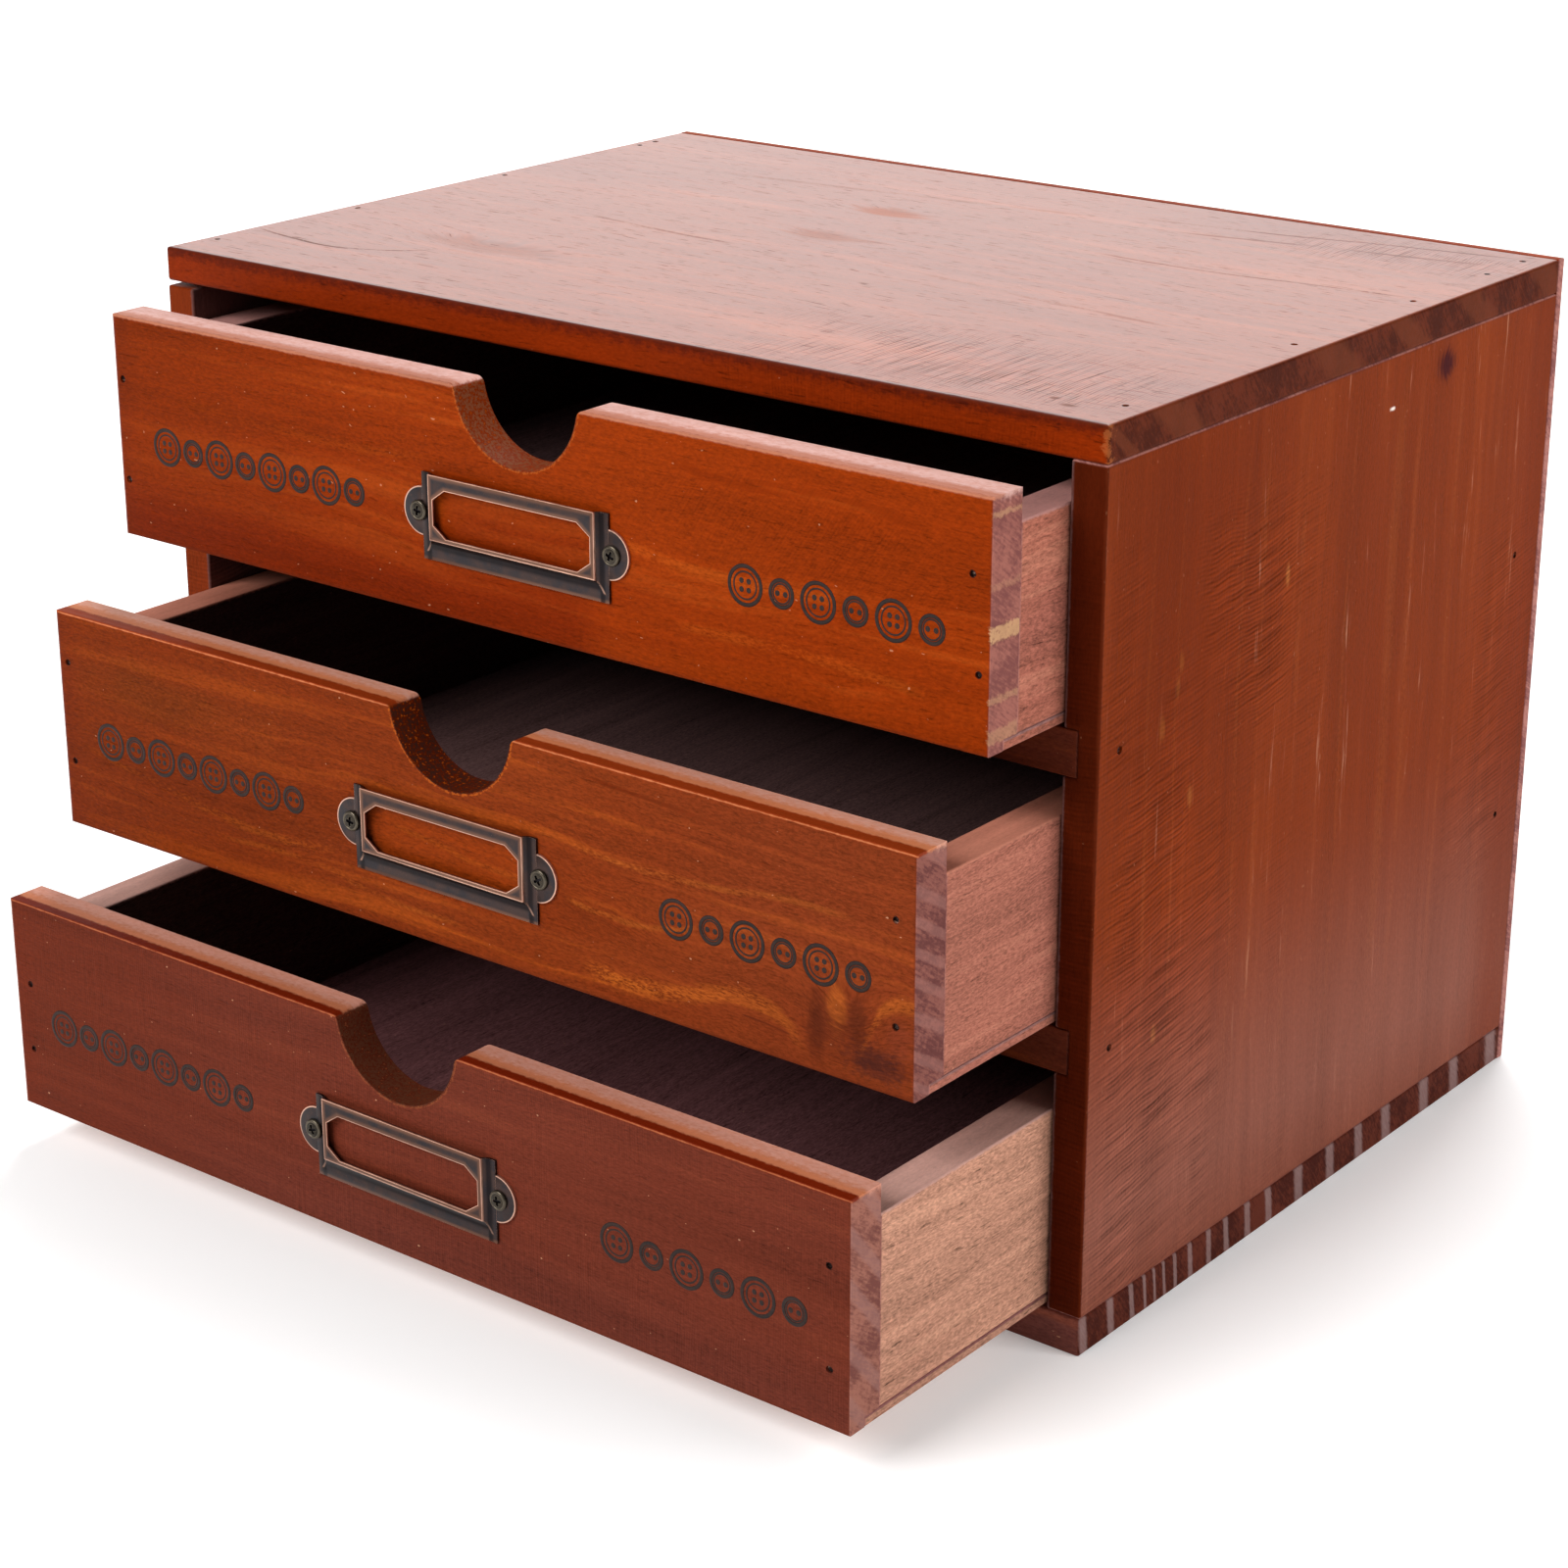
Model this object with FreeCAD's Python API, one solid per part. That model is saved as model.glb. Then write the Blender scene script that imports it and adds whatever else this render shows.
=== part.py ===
import FreeCAD, Part
import math
import os
from dataclasses import dataclass

# Three-drawer desktop cabinet of nailed boards, for buttons and haberdashery.
# Millimetres. X runs to the right, Y from the front to the back, Z up. The origin is
# the centre of the bottom board's underside. The drawers stand partly open.

Vector = FreeCAD.Vector
RIGHT = Vector(1, 0, 0)
BACKWARD = Vector(0, 1, 0)
UP = Vector(0, 0, 1)
SIDES = (-1, 1)  # left, right

# Case: boards, a thin panel over the whole back, and dividers let into the side boards.
cabinet_width = 250.0
cabinet_height = 192.5
board_depth = 179.0
top_board_thickness = 7.6
bottom_board_thickness = 8.6
side_board_thickness = 8.0
divider_thickness = 9.6
divider_groove_depth = 3.2
back_panel_thickness = 2.4
bay_count = 3

# Drawers: the front and back boards lap the ends of the sides, the panel lies below.
drawer_front_thickness = 8.9
drawer_side_thickness = 8.8
drawer_side_drop = 6.3  # the sides' top edges below the front's top edge
drawer_bottom_thickness = 2.2
drawer_side_clearance = 0.4  # on each side, to the case
drawer_floor_clearance = 0.8
drawer_top_clearance = 2.0
drawer_shut_clearance = 0.5  # to the back panel, with the drawer pushed in

# Finger notch, cut from the top edge of each drawer front with its shoulders eased.
notch_radius = 16.5
notch_center_rise = 1.6  # the circle's centre above the top edge
notch_center_shift = 0.9  # to the right of the front's middle
notch_shoulder_radius = 2.0

# Label holder: a pressed sheet frame, open at the top for the card, with two ears.
holder_sheet = 0.6
holder_base_width = 50.2
holder_base_height = 18.5
holder_rise = 1.8  # from the wood to the frame's face
holder_foot_width = 47.6  # where the sloping sides meet the wood
holder_foot_bottom = 1.0
holder_face_width = 44.6
holder_face_bottom = 4.6
holder_window_width = 42.4
holder_window_bottom = 5.5
holder_window_top = 15.7
holder_window_corner_width = 3.4
holder_window_corner_height = 2.4
holder_ear_radius = 5.2
holder_ear_height = 10.1  # the ears' centres above the base's bottom edge
holder_bottom = 11.7  # the base's bottom edge above the drawer front's

# Label holder screws.
screw_spacing = 52.0
screw_head_radius = 2.2
screw_head_rim = 0.4
screw_head_dome = 0.8
screw_radius = 1.0
screw_length = 7.0  # below the head
screw_tip = 2.0
screw_hole_clearance = 0.3  # around the shank, in the holder's ear
screw_recess_width = 0.7
screw_recess_span = 2.6
screw_recess_depth = 0.7

# Board nails and the shorter brads of the thin panels.
nail_head_radius = 0.8
nail_head_height = 0.9
nail_radius = 0.55
nail_length = 18.0
nail_tip = 1.5
nail_sunk = 0.5
brad_head_height = 0.4
brad_radius = 0.4
brad_length = 10.0
brad_tip = 1.0
brad_sunk = 0.1

# Nails were driven by eye, so each row has its own places: an inset from the board's
# end, and distances from the front and the back of the case.
top_left_nail_inset = 3.4
top_left_nails_from_front = (12.5, 57.0)
top_left_nails_from_back = (71.2, 20.4, 14.2)
top_right_nail_inset = 5.6
top_right_nails_from_front = (14.0, 75.0)
top_right_nails_from_back = (55.6, 23.0, 6.6)
bottom_nail_inset = 4.0
bottom_nails_from_front = (15.0, 70.0)
bottom_nails_from_back = (59.0, 17.0)
divider_nails_from_front = (7.4,)
divider_nails_from_back = (11.0,)
back_brads_from_bottom = (30.0, 96.0)
back_brads_from_top = (32.5,)
back_brad_spread = (-70.0, 0.0, 70.0)

# Drawer nails: heights above the drawer's bottom edge, insets from the front's ends.
drawer_back_nail_heights = (14.0, 32.0)
drawer_brad_spread = (-60.0, 0.0, 60.0)
drawer_brads_from_front = (28.6, 89.3)
drawer_brads_from_back = (28.6,)

# Each drawer: how far it stands open, the label holder's shift to the right, and the
# four front nails in the order upper left, lower left, upper right, lower right.
top_drawer_opened = 23.9
top_drawer_label_shift = 0.3
top_drawer_nail_insets = (1.9, 1.9, 4.4, 2.7)
top_drawer_nail_heights = (35.3, 12.6, 34.5, 15.5)
middle_drawer_opened = 45.6
middle_drawer_label_shift = -1.2
middle_drawer_nail_insets = (2.5, 2.6, 4.8, 4.6)
middle_drawer_nail_heights = (37.9, 15.0, 35.6, 14.2)
bottom_drawer_opened = 64.6
bottom_drawer_label_shift = 2.9
bottom_drawer_nail_insets = (4.4, 3.8, 5.2, 5.0)
bottom_drawer_nail_heights = (29.9, 14.0, 34.4, 12.6)


@dataclass(frozen=True)
class NailKind:
    """Size of a nail and how far its head is punched below the wood."""

    head_radius: float
    head_height: float
    shank_radius: float
    length: float
    tip: float
    sunk: float


@dataclass(frozen=True)
class DrawerPlace:
    """One drawer: its bay from the bottom, how far it stands open, and its hand work."""

    name: str
    bay: int
    opened: float
    label_shift: float
    nail_insets: tuple
    nail_heights: tuple


BOARD_NAIL = NailKind(
    nail_head_radius, nail_head_height, nail_radius, nail_length, nail_tip, nail_sunk)
PANEL_BRAD = NailKind(
    nail_head_radius, brad_head_height, brad_radius, brad_length, brad_tip, brad_sunk)

DRAWERS = (
    DrawerPlace("top_drawer", 2, top_drawer_opened, top_drawer_label_shift,
                top_drawer_nail_insets, top_drawer_nail_heights),
    DrawerPlace("middle_drawer", 1, middle_drawer_opened, middle_drawer_label_shift,
                middle_drawer_nail_insets, middle_drawer_nail_heights),
    DrawerPlace("bottom_drawer", 0, bottom_drawer_opened, bottom_drawer_label_shift,
                bottom_drawer_nail_insets, bottom_drawer_nail_heights),
)

# Sizes that follow from the ones above.
front_y = -board_depth / 2
back_y = board_depth / 2
inside_width = cabinet_width - 2 * side_board_thickness
side_board_height = cabinet_height - top_board_thickness - bottom_board_thickness
bay_height = (side_board_height - (bay_count - 1) * divider_thickness) / bay_count
bay_pitch = bay_height + divider_thickness
drawer_width = inside_width - 2 * drawer_side_clearance
drawer_depth = board_depth - drawer_shut_clearance
drawer_front_height = bay_height - drawer_floor_clearance - drawer_top_clearance
drawer_side_height = drawer_front_height - drawer_side_drop - drawer_bottom_thickness
drawer_rabbet_depth = drawer_front_thickness / 2


def block(low, high):
    """A box between two opposite corners."""
    size = high - low
    return Part.makeBox(size.x, size.y, size.z, low)


def nail(kind, point, direction):
    """A nail driven along direction into the face that holds point."""
    head_top = point + direction * kind.sunk
    straight = kind.length - kind.tip
    head = Part.makeCylinder(kind.head_radius, kind.head_height, head_top, direction)
    shank = Part.makeCylinder(kind.shank_radius, straight, head_top, direction)
    tip_base = head_top + direction * straight
    tip = Part.makeCone(kind.shank_radius, kind.shank_radius / 4, kind.tip, tip_base, direction)
    return head.fuse([shank, tip]).removeSplitter()


def nail_hole(kind, point, direction):
    """The nail's own space and the punched hole above its head."""
    punched = Part.makeCylinder(kind.head_radius, kind.sunk + kind.head_height, point, direction)
    return nail(kind, point, direction).fuse(punched).removeSplitter()


class NailSet:
    """Nails of one kind that share a node, with the holes they leave in the wood."""

    def __init__(self, kind, places):
        self.nails = [nail(kind, point, direction) for point, direction in places]
        self.holes = [nail_hole(kind, point, direction) for point, direction in places]

    def shape(self):
        return Part.makeCompound(self.nails)


def along(length, from_start, from_end):
    """Places along a length, given from its start and from its end."""
    return list(from_start) + [length - distance for distance in from_end]


def case_nail_sets():
    """Nails of the case: top board, bottom board, dividers' ends and back panel."""
    half_width = cabinet_width / 2
    outer_y = back_y + back_panel_thickness
    top_rows = {
        -1: (top_left_nail_inset, top_left_nails_from_front, top_left_nails_from_back),
        1: (top_right_nail_inset, top_right_nails_from_front, top_right_nails_from_back),
    }
    top_places = []
    bottom_places = []
    side_places = []
    back_places = []
    for side in SIDES:
        inset, from_front, from_back = top_rows[side]
        for y in along(board_depth, from_front, from_back):
            top_places.append((Vector(side * (half_width - inset), front_y + y, cabinet_height), -UP))
        bottom_x = side * (half_width - bottom_nail_inset)
        for y in along(board_depth, bottom_nails_from_front, bottom_nails_from_back):
            bottom_places.append((Vector(bottom_x, front_y + y, 0), UP))
        for bay in range(1, bay_count):
            z = bay_floor(bay) - divider_thickness / 2
            for y in along(board_depth, divider_nails_from_front, divider_nails_from_back):
                side_places.append((Vector(side * half_width, front_y + y, z), RIGHT * -side))
        side_middle = side * (half_width - side_board_thickness / 2)
        for z in along(cabinet_height, back_brads_from_bottom, back_brads_from_top):
            back_places.append((Vector(side_middle, outer_y, z), -BACKWARD))
    for x in back_brad_spread:
        for z in (bottom_board_thickness / 2, cabinet_height - top_board_thickness / 2):
            back_places.append((Vector(x, outer_y, z), -BACKWARD))
    return {
        "top_board_nails": NailSet(BOARD_NAIL, top_places),
        "bottom_board_nails": NailSet(BOARD_NAIL, bottom_places),
        "side_board_nails": NailSet(BOARD_NAIL, side_places),
        "back_panel_nails": NailSet(PANEL_BRAD, back_places),
    }


def bay_floor(bay):
    """Height of the surface that a bay's drawer runs on."""
    return bottom_board_thickness + bay * bay_pitch


def case_boards():
    """Boards of the case, without their nail holes, by node name."""
    half_width = cabinet_width / 2
    top_board_z = cabinet_height - top_board_thickness
    boards = {
        "bottom_board": block(
            Vector(-half_width, front_y, 0), Vector(half_width, back_y, bottom_board_thickness)),
        "top_board": block(
            Vector(-half_width, front_y, top_board_z), Vector(half_width, back_y, cabinet_height)),
        "back_panel": block(
            Vector(-half_width, back_y, 0),
            Vector(half_width, back_y + back_panel_thickness, cabinet_height)),
    }
    divider_half = inside_width / 2 + divider_groove_depth
    dividers = {}
    for bay, name in ((1, "lower_divider"), (2, "upper_divider")):
        top = bay_floor(bay)
        dividers[name] = block(
            Vector(-divider_half, front_y, top - divider_thickness), Vector(divider_half, back_y, top))
    for side, name in zip(SIDES, ("left_side_board", "right_side_board")):
        inner = side * inside_width / 2
        outer = side * half_width
        board = block(
            Vector(min(inner, outer), front_y, bottom_board_thickness),
            Vector(max(inner, outer), back_y, top_board_z))
        boards[name] = board.cut(list(dividers.values()))
    boards.update(dividers)
    return boards


def drawer_front_blank():
    """The drawer front's outline with its finger notch, and the rabbet for the panel."""
    half_width = drawer_width / 2
    top = drawer_front_height
    center = Vector(notch_center_shift, 0, top + notch_center_rise)
    reach = notch_radius + notch_shoulder_radius
    drop = notch_center_rise + notch_shoulder_radius
    shoulder_offset = math.sqrt(reach ** 2 - drop ** 2)
    edges = []
    shoulders = []
    for side in SIDES:
        shoulder = Vector(center.x + side * shoulder_offset, 0, top - notch_shoulder_radius)
        start = Vector(shoulder.x, 0, top)
        meet = center + (shoulder - center).normalize() * notch_radius
        outward = (start - shoulder).normalize() + (meet - shoulder).normalize()
        middle = shoulder + outward.normalize() * notch_shoulder_radius
        edges.append(Part.Arc(start, middle, meet).toShape())
        shoulders.append((start, meet))
    lowest = center - UP * notch_radius
    edges.append(Part.Arc(shoulders[0][1], lowest, shoulders[1][1]).toShape())
    corners = [
        shoulders[1][0],
        Vector(half_width, 0, top),
        Vector(half_width, 0, 0),
        Vector(-half_width, 0, 0),
        Vector(-half_width, 0, top),
        shoulders[0][0],
    ]
    for start, end in zip(corners, corners[1:]):
        edges.append(Part.LineSegment(start, end).toShape())
    outline = Part.Wire(Part.sortEdges(edges)[0])
    board = Part.Face(outline).extrude(BACKWARD * drawer_front_thickness)
    rabbet = block(
        Vector(-half_width, drawer_front_thickness - drawer_rabbet_depth, 0),
        Vector(half_width, drawer_front_thickness, drawer_bottom_thickness))
    return board.cut(rabbet)


def drawer_boards():
    """Boards of one drawer about its front face's bottom middle, by short name."""
    half_width = drawer_width / 2
    side_start = drawer_front_thickness
    side_end = drawer_depth - drawer_side_thickness
    side_top = drawer_bottom_thickness + drawer_side_height
    boards = {
        "front": drawer_front_blank(),
        "back": block(
            Vector(-half_width, side_end, drawer_bottom_thickness),
            Vector(half_width, drawer_depth, side_top)),
        "bottom_panel": block(
            Vector(-half_width, drawer_front_thickness - drawer_rabbet_depth, 0),
            Vector(half_width, drawer_depth, drawer_bottom_thickness)),
    }
    for side, name in zip(SIDES, ("left_side", "right_side")):
        inner = side * (half_width - drawer_side_thickness)
        outer = side * half_width
        boards[name] = block(
            Vector(min(inner, outer), side_start, drawer_bottom_thickness),
            Vector(max(inner, outer), side_end, side_top))
    return boards


def drawer_nail_sets(place):
    """Nails of one drawer, in the same local frame as its boards."""
    half_width = drawer_width / 2
    side_middle = half_width - drawer_side_thickness / 2
    front_places = []
    front_sides = (-1, -1, 1, 1)
    for side, inset, height in zip(front_sides, place.nail_insets, place.nail_heights):
        front_places.append((Vector(side * (half_width - inset), 0, height), BACKWARD))
    back_places = []
    brad_places = []
    for side in SIDES:
        for height in drawer_back_nail_heights:
            back_places.append((Vector(side * side_middle, drawer_depth, height), -BACKWARD))
        for y in along(drawer_depth, drawer_brads_from_front, drawer_brads_from_back):
            brad_places.append((Vector(side * side_middle, y, 0), UP))
    for x in drawer_brad_spread:
        rabbet_middle = drawer_front_thickness - drawer_rabbet_depth / 2
        brad_places.append((Vector(x, rabbet_middle, 0), UP))
        brad_places.append((Vector(x, drawer_depth - drawer_side_thickness / 2, 0), UP))
    return {
        "front_nails": NailSet(BOARD_NAIL, front_places),
        "back_nails": NailSet(BOARD_NAIL, back_places),
        "bottom_nails": NailSet(PANEL_BRAD, brad_places),
    }


def rectangle(half_width, low_z, high_z, y):
    """A closed wire in a plane that faces the front."""
    corners = [
        Vector(-half_width, y, low_z),
        Vector(half_width, y, low_z),
        Vector(half_width, y, high_z),
        Vector(-half_width, y, high_z),
    ]
    return Part.makePolygon(corners + corners[:1])


def holder_window():
    """The label window, a long opening with clipped corners."""
    half_width = holder_window_width / 2
    inner_x = half_width - holder_window_corner_width
    low = holder_window_bottom
    high = holder_window_top
    corners = [
        (-inner_x, low), (inner_x, low),
        (half_width, low + holder_window_corner_height), (half_width, high - holder_window_corner_height),
        (inner_x, high), (-inner_x, high),
        (-half_width, high - holder_window_corner_height), (-half_width, low + holder_window_corner_height),
    ]
    points = [Vector(x, 0, z) for x, z in corners]
    face = Part.Face(Part.makePolygon(points + points[:1]))
    return face.extrude(BACKWARD * -2 * holder_rise)


def label_holder():
    """The pressed frame about its base's bottom middle, with its back at y = 0."""
    top = holder_base_height
    outer = Part.makeLoft([
        rectangle(holder_foot_width / 2, holder_foot_bottom, top, 0),
        rectangle(holder_face_width / 2, holder_face_bottom, top, -holder_rise),
    ], True, True)
    # The hollow runs out past the top edge, where the card goes in.
    hollow = Part.makeLoft([
        rectangle(holder_foot_width / 2 - holder_sheet, holder_foot_bottom + holder_sheet,
                  2 * top, 0),
        rectangle(holder_face_width / 2 - holder_sheet, holder_face_bottom + holder_sheet,
                  2 * top, holder_sheet - holder_rise),
    ], True, True)
    base_half = holder_base_width / 2
    foot_half = holder_foot_width / 2 - holder_sheet
    base = block(
        Vector(-base_half, -holder_sheet, 0),
        Vector(base_half, 0, holder_foot_bottom + holder_sheet))
    lips = []
    for side in SIDES:
        near = side * foot_half
        far = side * base_half
        lips.append(block(Vector(min(near, far), -holder_sheet, 0), Vector(max(near, far), 0, top)))
        disc = Part.makeCylinder(
            holder_ear_radius, holder_sheet, Vector(far, 0, holder_ear_height), -BACKWARD)
        edge = side * (base_half + holder_ear_radius)
        outside = block(
            Vector(min(near, edge), -holder_sheet, 0), Vector(max(near, edge), 0, top))
        lips.append(disc.common(outside))
    frame = outer.cut([hollow, holder_window()]).fuse([base] + lips).removeSplitter()
    holes = []
    for side in SIDES:
        hole_center = Vector(side * screw_spacing / 2, 0, holder_ear_height)
        holes.append(Part.makeCylinder(
            screw_radius + screw_hole_clearance, holder_sheet, hole_center, -BACKWARD))
    return frame.cut(holes)


def screw_shank(head_seat):
    """The shank and its point, from under the head into the wood."""
    straight = screw_length - screw_tip
    shank = Part.makeCylinder(screw_radius, straight, head_seat, BACKWARD)
    tip = Part.makeCone(
        screw_radius, screw_radius / 4, screw_tip, head_seat + BACKWARD * straight, BACKWARD)
    return shank.fuse(tip).removeSplitter()


def label_screw(head_seat):
    """A cross-recessed pan-head screw; head_seat is the middle of its head's underside."""
    head_height = screw_head_rim + screw_head_dome
    dome_radius = (screw_head_radius ** 2 + screw_head_dome ** 2) / (2 * screw_head_dome)
    rim = Part.makeCylinder(screw_head_radius, head_height, head_seat, -BACKWARD)
    dome_center = head_seat - BACKWARD * (head_height - dome_radius)
    head = rim.common(Part.makeSphere(dome_radius, dome_center))
    half_span = screw_recess_span / 2
    half_slot = screw_recess_width / 2
    outer_y = -head_height
    inner_y = screw_recess_depth - head_height
    recess = [
        block(head_seat + Vector(-half_span, outer_y, -half_slot),
              head_seat + Vector(half_span, inner_y, half_slot)),
        block(head_seat + Vector(-half_slot, outer_y, -half_span),
              head_seat + Vector(half_slot, inner_y, half_span)),
    ]
    return head.cut(recess).fuse(screw_shank(head_seat)).removeSplitter()


def drawer_nodes(place):
    """Every node of one drawer, moved to where it stands in the cabinet."""
    boards = drawer_boards()
    nail_sets = drawer_nail_sets(place)
    label_origin = Vector(place.label_shift, 0, holder_bottom)
    seats = []
    for side in SIDES:
        offset = Vector(side * screw_spacing / 2, -holder_sheet, holder_ear_height)
        seats.append(label_origin + offset)
    holes = [screw_shank(seat) for seat in seats]
    for nail_set in nail_sets.values():
        holes.extend(nail_set.holes)
    nodes = {name: board.cut(holes) for name, board in boards.items()}
    nodes.update({name: nail_set.shape() for name, nail_set in nail_sets.items()})
    nodes["label_holder"] = label_holder().translated(label_origin)
    nodes["label_screws"] = Part.makeCompound([label_screw(seat) for seat in seats])
    standing = Vector(0, front_y - place.opened, bay_floor(place.bay) + drawer_floor_clearance)
    return {f"{place.name}_{name}": shape.translated(standing) for name, shape in nodes.items()}


def case_nodes():
    """Every node of the case."""
    nail_sets = case_nail_sets()
    holes = []
    for nail_set in nail_sets.values():
        holes.extend(nail_set.holes)
    nodes = {name: board.cut(holes) for name, board in case_boards().items()}
    nodes.update({name: nail_set.shape() for name, nail_set in nail_sets.items()})
    return nodes


os.makedirs("parts", exist_ok=True)
all_nodes = case_nodes()
for drawer_place in DRAWERS:
    all_nodes.update(drawer_nodes(drawer_place))
for node_name, node_shape in all_nodes.items():
    assert node_shape.isValid(), node_name
    node_shape.exportStep(f"parts/{node_name}.step")
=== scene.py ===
"""Looks of a three-drawer button storage cabinet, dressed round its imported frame.

Lengths are metres in the frame's own axes: X runs to the right, Y from the front to the
back and Z up. Every board, label holder and screw is remade over the node it stands for,
and every surface gets a stained, varnished, raw or metal finish made of shader nodes.
"""

import logging
import math
import random
from collections.abc import Callable, Iterator, Sequence
from contextlib import contextmanager
from dataclasses import dataclass, field, replace
from enum import Enum, IntEnum
from functools import reduce
from typing import Any, Union

import bmesh
import bpy
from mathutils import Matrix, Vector

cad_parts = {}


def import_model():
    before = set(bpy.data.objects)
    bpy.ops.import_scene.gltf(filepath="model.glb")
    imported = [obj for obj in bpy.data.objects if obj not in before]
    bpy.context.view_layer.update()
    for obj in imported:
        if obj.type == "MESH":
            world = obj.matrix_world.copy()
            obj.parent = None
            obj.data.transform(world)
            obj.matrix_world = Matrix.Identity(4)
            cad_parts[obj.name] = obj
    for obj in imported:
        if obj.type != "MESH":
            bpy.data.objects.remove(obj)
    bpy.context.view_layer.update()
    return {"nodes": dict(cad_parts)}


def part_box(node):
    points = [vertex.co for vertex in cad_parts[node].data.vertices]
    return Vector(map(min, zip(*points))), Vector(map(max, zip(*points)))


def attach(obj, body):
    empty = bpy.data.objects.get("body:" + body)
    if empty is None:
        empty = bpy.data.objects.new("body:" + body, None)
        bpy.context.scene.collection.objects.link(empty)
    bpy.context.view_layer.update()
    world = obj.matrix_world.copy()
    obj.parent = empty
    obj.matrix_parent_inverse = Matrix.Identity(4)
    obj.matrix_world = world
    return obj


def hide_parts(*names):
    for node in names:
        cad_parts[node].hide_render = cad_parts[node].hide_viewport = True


MM = 0.001
SEED = 7
LOG = logging.getLogger("cabinet")

EASED_ANGLE = math.radians(40)
WOOD_SMOOTH_ANGLE = math.radians(50)
METAL_ANGLE = math.radians(35)
LONGEST_NAIL = 25 * MM
WIDEST_NAIL = 2.5 * MM

Piece = bpy.types.Object
Socket = bpy.types.NodeSocket
Colour = tuple[float, float, float]
Number = Union["Shade", float]
WearAndShade = tuple[Number, Number, Number]


class Axis(IntEnum):
    """The frame's axes."""

    X = 0
    Y = 1
    Z = 2


# --------------------------------------------------------------------------- shaping


def clear_bench() -> None:
    """Leaves edit mode and deselects everything, so that operators act on one piece."""
    active = bpy.context.view_layer.objects.active
    if active is not None and active.mode != "OBJECT":
        bpy.ops.object.mode_set(mode="OBJECT")
    bpy.ops.object.select_all(action="DESELECT")


def pick_up(piece: Piece) -> None:
    """Makes a piece the only selected and active one.

    Args:
        piece: The object that the next operators act on.
    """
    clear_bench()
    piece.select_set(True)
    bpy.context.view_layer.objects.active = piece


def settle(name: str) -> Piece:
    """Names the newest primitive and puts its place, turn and size into its mesh.

    Args:
        name: The piece's name.

    Returns:
        The piece, at the origin with nothing left to apply.
    """
    piece = bpy.context.view_layer.objects.active
    piece.name = piece.data.name = name
    bpy.ops.object.transform_apply(location=True, rotation=True, scale=True)
    return piece


def saw_block(name: str, low: Vector, high: Vector) -> Piece:
    """Saws a block between two opposite corners.

    Args:
        name: The block's name.
        low: Its lowest corner.
        high: Its highest corner.

    Returns:
        The block.
    """
    clear_bench()
    bpy.ops.mesh.primitive_cube_add(size=1.0, location=(low + high) / 2, scale=high - low)
    return settle(name)


def turn_rod(name: str, centre: Vector, radius: float, length: float, facets: int) -> Piece:
    """Turns a plain rod that lies from front to back.

    Args:
        name: The rod's name.
        centre: The middle of the rod.
        radius: Its radius.
        length: Its whole length.
        facets: How many flats go round it.

    Returns:
        The rod.
    """
    clear_bench()
    bpy.ops.mesh.primitive_cylinder_add(
        vertices=facets, radius=radius, depth=length, location=centre,
        rotation=(math.pi / 2, 0.0, 0.0))
    return settle(name)


@contextmanager
def shaping(piece: Piece, mode: str = "VERT") -> Iterator[bmesh.types.BMesh]:
    """Holds a piece in edit mode with nothing selected.

    Args:
        piece: The piece to shape.
        mode: What is selected: VERT, EDGE or FACE.

    Yields:
        The mesh in edit mode, for selecting by place.
    """
    pick_up(piece)
    bpy.ops.object.mode_set(mode="EDIT")
    bpy.ops.mesh.select_mode(type=mode)
    bpy.ops.mesh.select_all(action="DESELECT")
    yield bmesh.from_edit_mesh(piece.data)
    bpy.ops.object.mode_set(mode="OBJECT")


def choose(piece: Piece, parts: Sequence[Any], test: Callable[[Any], bool]) -> None:
    """Selects the vertices, edges or faces that pass a test, and nothing else.

    Args:
        piece: The piece in edit mode.
        parts: Its mesh's verts, edges or faces.
        test: Says whether a part is chosen.
    """
    bpy.ops.mesh.select_all(action="DESELECT")
    for part in parts:
        if test(part):
            part.select_set(True)
    bmesh.update_edit_mesh(piece.data)


def machine(piece: Piece, kind: str, **settings: Any) -> None:
    """Adds a modifier with its settings and applies it.

    Args:
        piece: The piece to work on.
        kind: The modifier's type.
        **settings: The modifier's own settings.
    """
    pick_up(piece)
    modifier = piece.modifiers.new(kind.title(), kind)
    for name, value in settings.items():
        setattr(modifier, name, value)
    bpy.ops.object.modifier_apply(modifier=modifier.name)


def cut_away(piece: Piece, cutter: Piece) -> None:
    """Takes the cutter's shape out of a piece and throws the cutter away."""
    machine(piece, "BOOLEAN", operation="DIFFERENCE", solver="EXACT", object=cutter)
    bpy.data.objects.remove(cutter)


def ease_edges(piece: Piece, width: float) -> None:
    """Rounds a piece's edges slightly, as sandpaper does; width is the rounding's reach."""
    machine(piece, "BEVEL", width=width, segments=3, limit_method="ANGLE",
            angle_limit=EASED_ANGLE, use_clamp_overlap=True)


def smooth_faces(piece: Piece) -> None:
    """Shades a piece smooth while its large flat faces stay flat.

    Args:
        piece: The piece.
    """
    pick_up(piece)
    bpy.ops.object.shade_smooth_by_angle(angle=WOOD_SMOOTH_ANGLE)
    machine(piece, "WEIGHTED_NORMAL", keep_sharp=True, weight=100)


def join_pieces(pieces: Sequence[Piece], name: str) -> Piece:
    """Joins separate pieces into the first of them.

    Args:
        pieces: The pieces, at least one.
        name: The joined piece's name.

    Returns:
        The joined piece.
    """
    pick_up(pieces[0])
    for piece in pieces:
        piece.select_set(True)
    if len(pieces) > 1:
        bpy.ops.object.join()
    joined = bpy.context.view_layer.objects.active
    joined.name = joined.data.name = name
    return joined


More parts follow.
